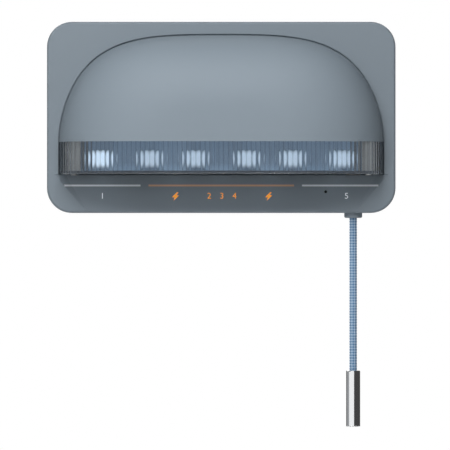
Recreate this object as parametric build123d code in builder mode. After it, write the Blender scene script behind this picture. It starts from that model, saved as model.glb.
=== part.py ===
import os
from math import cos, radians, sin

from build123d import *

# Wall-hung UV toothbrush sterilizer with a domed hood and a pull cord.
# Millimetres. The wall is the plane y = 0 and the front looks along -Y, so a depth is a
# distance from the wall towards the room. X is to the right, Z is up, and the origin is the
# middle of the adhesive pad's wall face, level with the middle of the casing.

os.makedirs("parts", exist_ok=True)

# Casing
body_width = 217.0
body_height = 119.0
body_corner = 15.5
shell_wall = 2.2
front_round = 1.5
fit_gap = 0.2
seat_gap = 0.3

# Wall plate, its adhesive pad and hooks
pad_thickness = 1.0
pad_margin = 4.0
plate_inset = 33.5
plate_head_room = 24.5
plate_corner = 8.0
plate_thickness = 2.5
hook_width = 12.0
hook_stem = 2.5
hook_lip_rise = 6.5
hook_lip = 2.0
hook_inset = 15.0
hook_chamfer = 0.5
lift_travel = 8.0

# Rear cover
cover_inset = 0.4
cover_wall = 2.2
pocket_wall = 1.8
pocket_play = 0.6
pocket_space = 0.5

# Hood: an arch in the casing's face that rises to a flat crown through quarter ellipses
hood_margin = 7.5
hood_head_room = 7.9
hood_depth = 38.0
hood_wall = 2.2
hood_bands = 14
crown_half = 41.0
crown_rise = 23.0
arch_shape = ((1.0, 0.0), (1.0, 0.412), (0.833, 0.988), (0.575, 1.0), (0.0, 1.0))
seam_gap = 0.4
flange_width = 3.0
flange_thickness = 1.5
flange_ear = 2.0

# Window band under the hood
window_top = -15.3
window_height = 20.2
window_wall = 2.0
window_rim = 0.8
reed_pitch = 2.85
reed_height = 0.3
reed_setback = 0.3
tongue_height = 3.0
tongue_wall = 1.2
ledge_height = 1.6

# Scoop in the lower panel, deepest under the window and running out near the bottom edge
scoop_depth = 2.4
scoop_overhang = 3.2
scoop_taper = 20.2
scoop_side = 7.2
scoop_skim = 0.1

# Chamber liner, lamp windows and brush tray
liner_inset = 4.2
upper_inset = 8.3
liner_wall = 1.5
liner_step = -8.0
liner_roof = 12.0
liner_back_gap = 0.9
liner_end_gap = 5.4
end_room = 8.3
liner_front_top = -14.0
liner_post_gap = 6.6
liner_post_levels = (-11.0, 4.0)
lamp_inner = 16.2
lamp_middle = 44.3
lamp_margin = 12.1
lamp_width = 16.0
lamp_height = 12.4
lamp_corner = 4.0
lamp_rise = 6.9
lamp_proud = 0.5
tray_thickness = 1.5
tray_lift = 0.6
tray_back = 14.0
brush_pitch = 29.0
brush_margin = 15.3
head_hole = 9.0
neck_hole = 4.0
head_depth = 36.0
neck_depth = 23.5

# Boards and their parts
board_thickness = 1.6
small_board_thickness = 1.2
main_board_gap = 6.0
main_board_height = 24.0
main_board_level = 25.0
main_screw_side = 5.0
main_screw_edge = 4.0
standoff_height = 3.6
led_board_height = 13.4
led_board_margin = 1.3
led_size = 3.5
led_height = 1.4
led_gap = 0.5
chip_side = 8.0
chip_height = 1.6
coil_side = 7.0
coil_height = 3.5
can_radius = 3.0
can_height = 6.5
plug_length = 7.0
plug_width = 4.0
plug_height = 4.5

# Places on the main board, in twelfths of its width and height from its middle
chip_places = ((-1.0, 0.0), (1.25, 1.0))
coil_places = ((-3.0, 2.0), (3.25, -2.5))
can_places = ((-4.125, 0.0), (-3.0, -3.0))
plug_places = ((-0.625, -4.0), (1.0, -4.0), (4.5, 0.0))

# Battery cell and its cradle
cell_diameter = 18.4
cell_length = 65.0
cell_depth = 30.0
cradle_wall = 1.5
cradle_height = 10.0
cradle_ear = 4.4
cell_button = 0.8
liner_boss_height = 4.0
tray_boss_height = 8.0
tray_screw_depth = 22.0
tray_pilot_floor = 2.0

# Charging socket
socket_place = -60.0
socket_width = 9.0
socket_thickness = 3.2
socket_length = 7.4
socket_wall = 0.3
socket_recess = 0.6
socket_tongue = 0.7
socket_tongue_side = 0.9
socket_flat = 0.1
socket_floor = 1.0
charge_board_width = 17.0
charge_board_height = 12.0
charge_board_rise = 1.0
charge_screw_side = 3.0
charge_screw_edge = 2.3

# Pull switch: cord, bushing, guide, slider, spring
cord_margin = 26.2
guide_back_room = 0.5
guide_front_room = 0.3
cord_diameter = 4.6
cord_point = 1.9
bushing_diameter = 11.2
bushing_height = 3.1
bushing_shank = 7.0
bushing_rise = 5.5
bushing_bore = 5.2
bushing_barb = 0.9
bushing_mouth = 0.9
bushing_flare = 1.6
bushing_edge = 0.7
guide_bore = 7.4
guide_wall = 0.8
guide_cap = 1.5
guide_web = 1.5
guide_web_sink = 0.6
guide_screw_reach = 11.2
guide_screw_rise = 10.3
guide_screw_pitch = 8.5
slider_clearance = 0.1
slider_length = 10.4
slider_rise = 23.3
ferrule_diameter = 5.8
ferrule_length = 3.5
ferrule_proud = 0.5
slack = 0.1
arm_width = 2.6
arm_height = 3.0
arm_reach = 8.8
spring_wire = 0.6
spring_mean = 6.0
spring_turns = 5
spring_facets = 10
hanging_length = 95.3
weight_diameter = 8.7
weight_length = 34.8
weight_bore_depth = 8.0
weight_chamfer = 0.3
joint_gap = 0.3

# Detector switch and its lever
switch_board_reach = 25.3
switch_board_gap = 6.3
switch_board_rise = 2.3
switch_board_height = 16.4
switch_screw_edge = 3.0
switch_inset = 0.6
switch_body_height = 6.2
switch_body_rise = 2.0
lug_overlap = 1.0
pivot_reach = 17.8
pivot_rise = 16.3
pivot_pin = 0.6
lever_hub = 1.4
lever_length = 12.0
lever_thickness = 1.2
lug_thickness = 0.8
pivot_clearance = 0.05
indicator_reach = 17.3
indicator_rise = 11.0
indicator_diameter = 1.7
indicator_recess = 0.15
indicator_led_size = (1.6, 0.8, 0.6)

# Screws
case_screw_side = 9.0
case_screw_edge = 9.5
low_screw_place = 35.0
low_screw_drop = 1.0
case_screw_hole = 1.4
case_screw_shank = 1.2
case_screw_head = 2.3
case_screw_head_height = 1.2
case_boss = 3.0
small_screw_shank = 0.95
small_screw_head = 1.9
small_screw_head_height = 1.2
small_boss = 2.4
hood_screw_head = 3.3
hood_boss = 2.5
hood_screw_offset = 6.0
hood_screw_shares = (0.27, 0.48)
thread_play = 0.05
shank_sides = 6
post_sides = 10
tip_space = 0.5
boss_sink = 1.0
case_pilot = 9.0
case_screw_length = 8.0
hood_screw_length = 2.2
small_pilot = 1.6

# Depths from the wall, worked out from the sizes above
back_depth = pad_thickness
cover_back = back_depth + cover_inset
cover_front = cover_back + cover_wall
guide_inner = guide_bore / 2
guide_outer = guide_inner + guide_wall
cord_depth = cover_front + guide_back_room + guide_outer
small_board_front = cord_depth + guide_outer + guide_front_room
inner_depth = small_board_front + scoop_depth
front_depth = inner_depth + shell_wall
plate_front = pad_thickness + plate_thickness
pocket_depth = plate_front + pocket_space
pocket_front = pocket_depth + pocket_wall
lip_back = pocket_front + seat_gap
lip_front = lip_back + hook_lip
crown_depth = front_depth + hood_depth
flange_back = inner_depth - flange_thickness
liner_back = front_depth + liner_back_gap
liner_back_front = liner_back + liner_wall
main_board_back = pocket_front + standoff_height
main_board_front = main_board_back + board_thickness
led_board_front = liner_back - led_gap - led_height
led_board_back = led_board_front - board_thickness
small_board_back = small_board_front - small_board_thickness

# Widths
plate_width = body_width - 2 * plate_inset
plate_height = body_height - 2 * plate_head_room
hook_spread = plate_width - 2 * hook_inset
hook_pitch = plate_height - 2 * hook_inset
main_board_width = hook_spread - hook_width - 2 * main_board_gap
hood_half = body_width / 2 - hood_margin
liner_end = hood_half - liner_end_gap
chamber_half = liner_end - end_room
led_board_half = chamber_half - led_board_margin
scoop_half_top = hood_half + scoop_overhang
scoop_half_foot = scoop_half_top - scoop_taper
liner_post_place = plate_width / 2 + pocket_play + pocket_wall + liner_post_gap
cradle_half = cell_length / 2 + cell_button + seat_gap + cradle_wall
cradle_width = cell_diameter + 2 * (seat_gap + cradle_wall)

# Heights
bottom_level = -body_height / 2
floor_level = bottom_level + shell_wall
hood_rise = body_height / 2 - hood_head_room - window_top
window_bottom = window_top - window_height
scoop_foot = bottom_level + front_round
tray_bottom = window_bottom + tray_lift
tray_top = tray_bottom + tray_thickness
lamp_level = tray_top + lamp_rise
ear_level = liner_roof + liner_boss_height
mouth_level = bottom_level - bushing_height
bushing_top = bottom_level + bushing_rise
slider_top = floor_level + slider_rise
slider_bottom = slider_top - slider_length
ferrule_bottom = slider_top - ferrule_length + ferrule_proud
guide_top = slider_top + seat_gap + guide_cap
guide_bottom = floor_level + guide_cap
weight_top = mouth_level - hanging_length
weight_bottom = weight_top - weight_length
pivot_level = floor_level + pivot_rise
lever_top = pivot_level + lever_thickness / 2
arm_bottom = lever_top + seat_gap
charge_board_bottom = floor_level + charge_board_rise
switch_board_bottom = floor_level + switch_board_rise

# Pull switch
cord_place = body_width / 2 - cord_margin
switch_board_left = cord_place - switch_board_reach
switch_board_right = cord_place - switch_board_gap
switch_left = switch_board_left + switch_inset
pivot_place = cord_place - pivot_reach
indicator_place = (cord_place - indicator_reach, floor_level + indicator_rise)
cord_radius = cord_diameter / 2
slider_radius = guide_inner - slider_clearance

# Places of what repeats
lamp_half = (lamp_inner, lamp_middle, chamber_half - lamp_margin)
lamp_places = [side * place for side in (-1, 1) for place in lamp_half]
brush_half = (brush_pitch, chamber_half - brush_margin)
brush_places = [0.0] + [side * place for side in (-1, 1) for place in brush_half]
hook_places = [
    (side * hook_spread / 2, tier * hook_pitch / 2) for side in (-1, 1) for tier in (-1, 1)
]
corner_x = body_width / 2 - case_screw_side
corner_z = body_height / 2 - case_screw_edge
low_level = -corner_z - low_screw_drop
housing_screws = [(-corner_x, corner_z), (corner_x, corner_z), (-corner_x, -corner_z)]
housing_screws += [(corner_x, -corner_z), (-low_screw_place, low_level), (low_screw_place, low_level)]
liner_screws = [(side * liner_post_place, level) for side in (-1, 1) for level in liner_post_levels]
main_screw_x = main_board_width / 2 - main_screw_side
main_screw_z = main_board_height / 2 - main_screw_edge
main_board_screws = [
    (x, main_board_level + z) for x in (-main_screw_x, main_screw_x) for z in (-main_screw_z, main_screw_z)
]
led_screw_place = (lamp_half[1] + lamp_half[2]) / 2
led_board_screws = [(-led_screw_place, lamp_level), (0.0, lamp_level), (led_screw_place, lamp_level)]
charge_screw_x = charge_board_width / 2 - charge_screw_side
charge_screw_z = charge_board_bottom + charge_board_height - charge_screw_edge
charge_board_screws = [(socket_place + side * charge_screw_x, charge_screw_z) for side in (-1, 1)]
switch_screw_z = switch_board_bottom + switch_screw_edge
switch_board_screws = [(switch_board_left + switch_screw_edge, switch_screw_z)]
switch_board_screws += [(switch_board_right - switch_screw_edge, switch_screw_z)]
guide_screw_x = cord_place + guide_screw_reach
guide_screw_z = floor_level + guide_screw_rise
guide_screws = [(guide_screw_x, guide_screw_z), (guide_screw_x, guide_screw_z + guide_screw_pitch)]
end_middle = (chamber_half + liner_end) / 2
tray_screws = [(-end_middle, tray_screw_depth), (end_middle, tray_screw_depth)]
small_board_screws = charge_board_screws + switch_board_screws + guide_screws
cradle_screw_x = cradle_half + cradle_ear
cradle_screws = [(-cradle_screw_x, cell_depth), (cradle_screw_x, cell_depth)]
arch = Bezier(*[(hood_half * u, window_top + hood_rise * v) for u, v in arch_shape])
hood_screw_places = []
for share in hood_screw_shares:
    along = arch % share
    place = arch @ share + Vector(along.Y, -along.X) * hood_screw_offset
    hood_screw_places += [(-place.X, place.Y), (place.X, place.Y)]


def at_depth(depth):
    """Plane parallel to the wall at a depth, with its own X to the right and Y upwards."""
    return Plane.XZ.offset(depth)


def draw_arch(half, rise, foot=window_top, mode=Mode.ADD):
    """Area under an arch of a half width and a rise, with straight legs down to foot."""
    with BuildLine() as outline:
        right = Bezier(*[(half * u, window_top + rise * v) for u, v in arch_shape])
        left = Bezier(*[(-half * u, window_top + rise * v) for u, v in arch_shape])
        if foot < window_top:
            Polyline(left @ 0, (-half, foot), (half, foot), right @ 0)
        else:
            Line(left @ 0, right @ 0)
    make_face(outline.edges(), mode=mode)


def hood_form(grow):
    """Solid hood, grown all round: ruled bands between arches that spread from the flat crown.

    Going back from the crown, the arches widen and rise along quarter ellipses, so each band
    joins two of them, and the last arch is the one in the casing's face.
    """
    with BuildPart() as form:
        for band in range(hood_bands + 1):
            turn = radians(90 * band / hood_bands)
            half = crown_half + (hood_half + grow - crown_half) * sin(turn)
            rise = crown_rise + (hood_rise + grow - crown_rise) * sin(turn)
            with BuildSketch(at_depth(front_depth + (hood_depth + grow) * cos(turn))):
                draw_arch(half, rise)
        loft(ruled=True)
    return form.part


def draw_plan(grow, back, mode=Mode.ADD):
    """Hood's plan grown all round: straight crown, quarter ellipse ends, legs to depth back."""
    half = hood_half + grow
    end_width = half - crown_half
    end_depth = hood_depth + grow
    with BuildLine() as outline:
        EllipticalCenterArc((crown_half, -front_depth), end_width, end_depth, 270, arc_size=90)
        EllipticalCenterArc((-crown_half, -front_depth), end_width, end_depth, 180, arc_size=90)
        Line((-crown_half, -front_depth - end_depth), (crown_half, -front_depth - end_depth))
        if back < front_depth:
            Polyline((half, -front_depth), (half, -back), (-half, -back), (-half, -front_depth))
        else:
            Line((half, -front_depth), (-half, -front_depth))
    make_face(outline.edges(), mode=mode)


def plan_wire(grow):
    """Hood's plan curve grown outwards, from its left end round to its right end."""
    ends = (hood_half + grow - crown_half, hood_depth + grow)
    front = -front_depth - ends[1]
    left = EllipticalCenterArc((-crown_half, -front_depth), *ends, 180, arc_size=90)
    crown = Line((-crown_half, front), (crown_half, front))
    right = EllipticalCenterArc((crown_half, -front_depth), *ends, 270, arc_size=90)
    return Wire([left, crown, right])


def draw_bay(grow, back, middle, width):
    """Part of the hood's plan in front of depth back, of a width round its middle."""
    draw_plan(grow, front_depth)
    with Locations((middle, -back)):
        Rectangle(width, hood_depth, align=(Align.CENTER, Align.MAX), mode=Mode.INTERSECT)


def board_points(places):
    """Points on the main board, from places in twelfths of its width and height."""
    pitch_x = main_board_width / 12
    pitch_z = main_board_height / 12
    return [(x * pitch_x, main_board_level + z * pitch_z) for x, z in places]


def scoop_wall(level):
    """How deep the scoop is at a level of the lower panel."""
    return scoop_depth * (level - scoop_foot) / (window_bottom - scoop_foot)


def scoop_form(back):
    """Scoop as a solid, moved back by a wall: a sloping floor between two flat flared sides.

    Its profile is a wedge that skims past the face, so that the face is cut through cleanly.
    """
    face = front_depth - back
    floor_depth = face - scoop_depth
    slope = (window_bottom - scoop_foot) / scoop_depth
    with BuildPart() as form:
        with BuildSketch(Plane.YZ):
            with BuildLine():
                Polyline(
                    (-face - scoop_skim, scoop_foot - scoop_skim * slope),
                    (-floor_depth, window_bottom),
                    (-face - scoop_skim, window_bottom),
                    close=True,
                )
            make_face()
        extrude(amount=body_width / 2, both=True)
        for side in (-1, 1):
            lip = Vector(side * scoop_half_top, -face, window_bottom)
            bend = Vector(side * (scoop_half_top - scoop_side), -floor_depth, window_bottom)
            foot = Vector(side * scoop_half_foot, -face, scoop_foot)
            outwards = (bend - lip).cross(foot - lip) * -side
            split(bisect_by=Plane(origin=lip, z_dir=outwards), keep=Keep.BOTTOM)
    return form.part


def draw_posts(places, radius, mode=Mode.ADD):
    """Ten-sided outline, for a boss or a screw's head, at each place."""
    with Locations(*places):
        RegularPolygon(radius, post_sides, mode=mode)


def draw_pilots(places, radius, mode=Mode.ADD):
    """Six-sided outline round a circle of this radius, for a screw's hole, at each place."""
    with Locations(*places):
        RegularPolygon(radius, shank_sides, major_radius=False, mode=mode)


def finish(piece, label):
    """Name a finished piece and write it out."""
    piece.part.label = label
    export_step(piece.part, f"parts/{label}.step")


def screw_set(places, plane, turn, head, head_height, shank, length):
    """Screws whose pan heads stand on a plane and whose shanks run along turn."""
    with BuildPart() as screws:
        with BuildSketch(plane):
            draw_posts(places, head)
        extrude(amount=-turn * head_height)
        with BuildSketch(plane):
            with Locations(*places):
                RegularPolygon(shank, shank_sides)
        extrude(amount=turn * length)
    return screws.part


# Wall plate: flat plate with four hooks that stand through the rear cover's slots
with BuildPart() as wall_plate:
    with BuildSketch(at_depth(pad_thickness)):
        RectangleRounded(plate_width, plate_height, plate_corner)
    extrude(amount=plate_thickness)
    with BuildSketch(at_depth(plate_front)):
        with Locations(*hook_places):
            Rectangle(hook_width, hook_stem)
    extrude(amount=lip_front - plate_front)
    with BuildSketch(at_depth(lip_back)):
        with Locations(*[(x, z - hook_stem / 2) for x, z in hook_places]):
            Rectangle(hook_width, hook_stem + hook_lip_rise, align=(Align.CENTER, Align.MIN))
    extrude(amount=hook_lip)
    lip_edges = wall_plate.edges().filter_by(Axis.X).group_by(Axis.Y)[0]
    chamfer(lip_edges, hook_chamfer)
finish(wall_plate, "wall_plate")

# Adhesive pad: foam sheet between the plate and the wall
with BuildPart() as adhesive_pad:
    with BuildSketch(at_depth(0)):
        RectangleRounded(
            plate_width - 2 * pad_margin, plate_height - 2 * pad_margin, plate_corner - pad_margin / 2
        )
    extrude(amount=pad_thickness)
finish(adhesive_pad, "adhesive_pad")

# Rear cover: plate inside the casing's rim, with a pocket for the wall plate
pocket_width = plate_width + 2 * pocket_play
pocket_height = plate_height + 2 * pocket_play + lift_travel
pocket_level = -lift_travel / 2
slot_drop = lift_travel + pocket_space
slot_height = hook_stem + slot_drop + seat_gap
with BuildPart() as rear_cover:
    cover_margin = shell_wall + fit_gap
    with BuildSketch(at_depth(cover_back)):
        RectangleRounded(
            body_width - 2 * cover_margin, body_height - 2 * cover_margin, body_corner - cover_margin
        )
    extrude(amount=cover_wall)
    with BuildSketch(at_depth(cover_back)):
        with Locations((0, pocket_level)):
            RectangleRounded(
                pocket_width + 2 * pocket_wall,
                pocket_height + 2 * pocket_wall,
                plate_corner + pocket_wall,
            )
    extrude(amount=pocket_front - cover_back)
    with BuildSketch(at_depth(cover_back)):
        with Locations((0, pocket_level)):
            RectangleRounded(pocket_width, pocket_height, plate_corner)
    extrude(amount=pocket_depth - cover_back, mode=Mode.SUBTRACT)
    with BuildSketch(at_depth(pocket_depth)):
        with Locations(*[(x, z + hook_stem / 2 + seat_gap) for x, z in hook_places]):
            Rectangle(hook_width + 2 * seat_gap, slot_height, align=(Align.CENTER, Align.MAX))
    extrude(amount=pocket_wall, mode=Mode.SUBTRACT)
    with BuildSketch(at_depth(pocket_front)):
        draw_posts(main_board_screws, small_boss)
    extrude(amount=standoff_height)
    with BuildSketch(at_depth(main_board_back)):
        draw_pilots(main_board_screws, small_screw_shank + thread_play)
    extrude(amount=-standoff_height + tip_space / 2, mode=Mode.SUBTRACT)
    with BuildSketch(at_depth(cover_back)):
        draw_pilots(housing_screws + liner_screws, case_screw_hole)
    extrude(amount=cover_wall, mode=Mode.SUBTRACT)
    with BuildSketch(at_depth(cover_back)):
        draw_posts(housing_screws + liner_screws, case_screw_head + fit_gap)
    extrude(amount=case_screw_head_height, mode=Mode.SUBTRACT)
finish(rear_cover, "rear_cover")

# Front housing: rounded shell with the hood's opening, the scoop and all its inner bosses
with BuildPart() as front_housing:
    with BuildSketch(at_depth(back_depth)):
        RectangleRounded(body_width, body_height, body_corner)
    extrude(amount=front_depth - back_depth)
    fillet(front_housing.faces().sort_by(Axis.Y)[0].edges(), front_round)
    with BuildSketch(at_depth(back_depth)):
        RectangleRounded(
            body_width - 2 * shell_wall, body_height - 2 * shell_wall, body_corner - shell_wall
        )
    extrude(amount=inner_depth - back_depth, mode=Mode.SUBTRACT)
    # Wall behind the scoop, so that the panel keeps its thickness
    add(scoop_form(shell_wall))
    with BuildSketch(at_depth(cover_front)):
        draw_posts(housing_screws, case_boss)
    extrude(amount=front_depth - boss_sink - cover_front)
    with BuildSketch(at_depth(flange_back + slack)):
        draw_posts(hood_screw_places, hood_boss)
    extrude(amount=front_depth - boss_sink - flange_back - slack)
    with BuildSketch(at_depth(small_board_front)):
        draw_posts(small_board_screws, small_boss)
    extrude(amount=front_depth - boss_sink - small_board_front)
    # Opening for the hood and the chamber's open underside
    with BuildSketch(at_depth(small_board_front)):
        draw_arch(hood_half + seam_gap, hood_rise + seam_gap, window_bottom - seam_gap)
    extrude(amount=shell_wall + scoop_depth, mode=Mode.SUBTRACT)
    add(scoop_form(0), mode=Mode.SUBTRACT)
    # Screw pilots
    with BuildSketch(at_depth(cover_front)):
        draw_pilots(housing_screws, case_screw_shank + thread_play)
    extrude(amount=case_pilot, mode=Mode.SUBTRACT)
    with BuildSketch(at_depth(flange_back)):
        draw_pilots(hood_screw_places, small_screw_shank + thread_play)
    extrude(amount=hood_screw_length + seat_gap, mode=Mode.SUBTRACT)
    with BuildSketch(at_depth(small_board_front)):
        draw_pilots(small_board_screws, small_screw_shank + thread_play)
    extrude(amount=small_pilot, mode=Mode.SUBTRACT)
    # Holes for the indicator, the cord's bushing and the charging socket
    with BuildSketch(at_depth(small_board_front)):
        with Locations(indicator_place):
            Circle(indicator_diameter / 2 + thread_play)
    extrude(amount=shell_wall + scoop_depth, mode=Mode.SUBTRACT)
    with BuildSketch(Plane.XY.offset(bottom_level)):
        with Locations((cord_place, -cord_depth)):
            Circle(bushing_shank / 2 + fit_gap)
        with Locations((socket_place, -(small_board_back - socket_thickness / 2))):
            SlotOverall(socket_width + 2 * fit_gap, socket_thickness + 2 * fit_gap)
    extrude(amount=shell_wall, mode=Mode.SUBTRACT)
finish(front_housing, "front_housing")

# Dome cover: thin hood with a flange that lies behind the casing's face
with BuildPart() as dome_cover:
    add(hood_form(0))
    with BuildSketch(at_depth(flange_back)):
        draw_arch(hood_half, hood_rise)
    extrude(amount=front_depth - flange_back)
    with BuildSketch(at_depth(flange_back)):
        draw_arch(hood_half + flange_width, hood_rise + flange_width)
        draw_posts(hood_screw_places, hood_boss + flange_ear)
    extrude(amount=flange_thickness)
    add(hood_form(-hood_wall), mode=Mode.SUBTRACT)
    with BuildSketch(at_depth(flange_back)):
        draw_arch(hood_half - hood_wall, hood_rise - hood_wall)
    extrude(amount=front_depth - flange_back, mode=Mode.SUBTRACT)
    with BuildSketch(at_depth(flange_back)):
        draw_posts(hood_screw_places, hood_boss + fit_gap)
    extrude(amount=flange_thickness, mode=Mode.SUBTRACT)
finish(dome_cover, "dome_cover")

# Reeded window: U-shaped clear band, a row of round reeds outside and a tongue into the hood
valley = plan_wire(-reed_setback - reed_height)
reed_count = round(valley.length / reed_pitch)
reed_shares = [step / reed_count for step in range(reed_count + 1)]
reed_points = [valley @ share for share in reed_shares]
rim = plan_wire(0)
rim_points = [rim @ share for share in reed_shares]
valley_half = reed_points[-1].X
with BuildPart() as reeded_window:
    with BuildSketch(Plane.XY.offset(window_bottom + window_rim)):
        with BuildLine():
            for start, end in zip(reed_points, reed_points[1:]):
                SagittaArc(start, end, -reed_height)
            Polyline(
                reed_points[-1],
                (valley_half, -flange_back),
                (-valley_half, -flange_back),
                reed_points[0],
            )
        make_face()
        draw_plan(-window_wall, flange_back, mode=Mode.SUBTRACT)
    extrude(amount=window_height - window_rim)
    # Plain rim along the bottom edge, in flats one reed wide
    with BuildSketch(Plane.XY.offset(window_bottom)):
        with BuildLine():
            Polyline(
                *rim_points,
                (hood_half, -flange_back),
                (-hood_half, -flange_back),
                close=True,
            )
        make_face()
        draw_plan(-window_wall, flange_back, mode=Mode.SUBTRACT)
    extrude(amount=window_rim)
    # Ledge and tongue that locate the band inside the hood
    with BuildSketch(Plane.XY.offset(window_top - ledge_height)):
        draw_plan(-window_wall / 2, flange_back)
        draw_plan(-hood_wall - fit_gap - tongue_wall, flange_back, mode=Mode.SUBTRACT)
    extrude(amount=ledge_height)
    with BuildSketch(Plane.XY.offset(window_top)):
        draw_plan(-hood_wall - fit_gap, front_depth)
        draw_plan(-hood_wall - fit_gap - tongue_wall, front_depth, mode=Mode.SUBTRACT)
    extrude(amount=tongue_height)
    # Tabs behind the casing's face
    tab_width = flange_width + window_wall
    tab_place = hood_half - window_wall + tab_width / 2
    tab_middle = -(flange_back + flange_thickness / 2)
    with BuildSketch(Plane.XY.offset(window_bottom)):
        with Locations((-tab_place, tab_middle), (tab_place, tab_middle)):
            Rectangle(tab_width, flange_thickness)
    extrude(amount=window_height)
finish(reeded_window, "reeded_window")

# Chamber liner: white tub over the brush heads, open to the window and to the tray below
with BuildPart() as chamber_liner:
    # Wide lower tub behind the window, and a narrower upper one that clears the hood
    with BuildSketch(Plane.XY.offset(tray_top)):
        draw_bay(-liner_inset, liner_back, 0, 2 * liner_end)
    extrude(amount=liner_step - tray_top)
    with BuildSketch(Plane.XY.offset(liner_step)):
        draw_bay(-upper_inset, liner_back, 0, 2 * (chamber_half + liner_wall))
    extrude(amount=liner_roof - liner_step)
    # Chamber, and the hollow inside each end
    low_room = liner_step - liner_wall - tray_top
    with BuildSketch(Plane.XY.offset(tray_top)):
        draw_bay(-liner_inset - liner_wall, liner_back_front, 0, 2 * chamber_half)
    extrude(amount=low_room, mode=Mode.SUBTRACT)
    with BuildSketch(Plane.XY.offset(tray_top)):
        draw_bay(-upper_inset - liner_wall, liner_back_front, 0, 2 * chamber_half)
    extrude(amount=liner_roof - liner_wall - tray_top, mode=Mode.SUBTRACT)
    for side in (-1, 1):
        with BuildSketch(Plane.XY.offset(tray_top)):
            draw_bay(
                -liner_inset - liner_wall, liner_back_front, side * end_middle, end_room - 2 * liner_wall
            )
        extrude(amount=low_room, mode=Mode.SUBTRACT)
    # Open front behind the window
    with BuildSketch(at_depth(liner_back_front)):
        with Locations((0, tray_top)):
            Rectangle(
                2 * chamber_half, liner_front_top - tray_top, align=(Align.CENTER, Align.MIN)
            )
    extrude(amount=hood_depth, mode=Mode.SUBTRACT)
    with BuildSketch(at_depth(liner_back)) as lamp_holes:
        with Locations(*[(x, lamp_level) for x in lamp_places]):
            Rectangle(lamp_width + fit_gap, lamp_height + fit_gap)
        chamfer(lamp_holes.vertices(), lamp_corner)
    extrude(amount=liner_wall, mode=Mode.SUBTRACT)
    # Posts to the rear cover, LED board bosses, cradle bosses and tray bosses
    with BuildSketch(at_depth(cover_front)):
        draw_posts(liner_screws, case_boss)
    extrude(amount=liner_back - cover_front)
    with BuildSketch(at_depth(led_board_front)):
        draw_posts(led_board_screws, small_boss)
    extrude(amount=liner_back - led_board_front)
    with BuildSketch(Plane.XY.offset(liner_roof)):
        draw_posts([(x, -depth) for x, depth in cradle_screws], small_boss)
    extrude(amount=liner_boss_height)
    with BuildSketch(Plane.XY.offset(tray_top)):
        draw_posts([(x, -depth) for x, depth in tray_screws], small_boss)
    extrude(amount=tray_boss_height)
    with BuildSketch(at_depth(cover_front)):
        draw_pilots(liner_screws, case_screw_shank + thread_play)
    extrude(amount=case_pilot, mode=Mode.SUBTRACT)
    with BuildSketch(at_depth(led_board_front)):
        draw_pilots(led_board_screws, small_screw_shank + thread_play)
    extrude(amount=liner_back_front - led_board_front - tip_space + fit_gap, mode=Mode.SUBTRACT)
    with BuildSketch(Plane.XY.offset(ear_level)):
        draw_pilots([(x, -depth) for x, depth in cradle_screws], small_screw_shank + thread_play)
    extrude(amount=-liner_boss_height, mode=Mode.SUBTRACT)
    with BuildSketch(Plane.XY.offset(tray_top)):
        draw_pilots([(x, -depth) for x, depth in tray_screws], small_screw_shank + thread_play)
    extrude(amount=tray_boss_height - tray_pilot_floor, mode=Mode.SUBTRACT)
finish(chamber_liner, "chamber_liner")

# Brush tray: floor of the chamber, a wide hole for each brush head and a slot for its neck
with BuildPart() as brush_tray:
    with BuildSketch(Plane.XY.offset(tray_bottom)):
        draw_plan(-window_wall - seat_gap, front_depth)
        with Locations((0, -tray_back)):
            Rectangle(
                2 * (hood_half - window_wall - seat_gap),
                front_depth - tray_back,
                align=(Align.CENTER, Align.MAX),
            )
    extrude(amount=tray_thickness)
    with BuildSketch(Plane.XY.offset(tray_bottom)):
        for x in brush_places:
            with Locations((x, -head_depth)):
                Circle(head_hole)
            with Locations((x, -neck_depth)):
                Circle(neck_hole)
                Rectangle(
                    2 * neck_hole, head_depth - neck_depth, align=(Align.CENTER, Align.MAX)
                )
    extrude(amount=tray_thickness, mode=Mode.SUBTRACT)
    with BuildSketch(Plane.XY.offset(tray_bottom)):
        draw_pilots([(x, -depth) for x, depth in tray_screws], small_screw_shank + fit_gap)
    extrude(amount=tray_thickness, mode=Mode.SUBTRACT)
finish(brush_tray, "brush_tray")

# LED board, its six lamps, and the clear windows over them in the liner's back wall
with BuildPart() as led_board:
    with BuildSketch(at_depth(led_board_back)):
        with Locations((0, lamp_level)):
            Rectangle(2 * led_board_half, led_board_height)
        draw_pilots(led_board_screws, small_screw_shank + fit_gap, mode=Mode.SUBTRACT)
    extrude(amount=board_thickness)
finish(led_board, "led_board")

with BuildPart() as uv_leds:
    with BuildSketch(at_depth(led_board_front)):
        with Locations(*[(x, lamp_level) for x in lamp_places]):
            Rectangle(led_size, led_size)
    extrude(amount=led_height)
finish(uv_leds, "uv_leds")

with BuildPart() as lamp_windows:
    with BuildSketch(at_depth(liner_back)) as lamp_outlines:
        with Locations(*[(x, lamp_level) for x in lamp_places]):
            Rectangle(lamp_width, lamp_height)
        chamfer(lamp_outlines.vertices(), lamp_corner)
    extrude(amount=liner_wall + lamp_proud)
finish(lamp_windows, "lamp_windows")

# Main board and its parts
with BuildPart() as main_board:
    with BuildSketch(at_depth(main_board_back)):
        with Locations((0, main_board_level)):
            Rectangle(main_board_width, main_board_height)
        draw_pilots(main_board_screws, small_screw_shank + fit_gap, mode=Mode.SUBTRACT)
    extrude(amount=board_thickness)
finish(main_board, "main_board")

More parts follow.
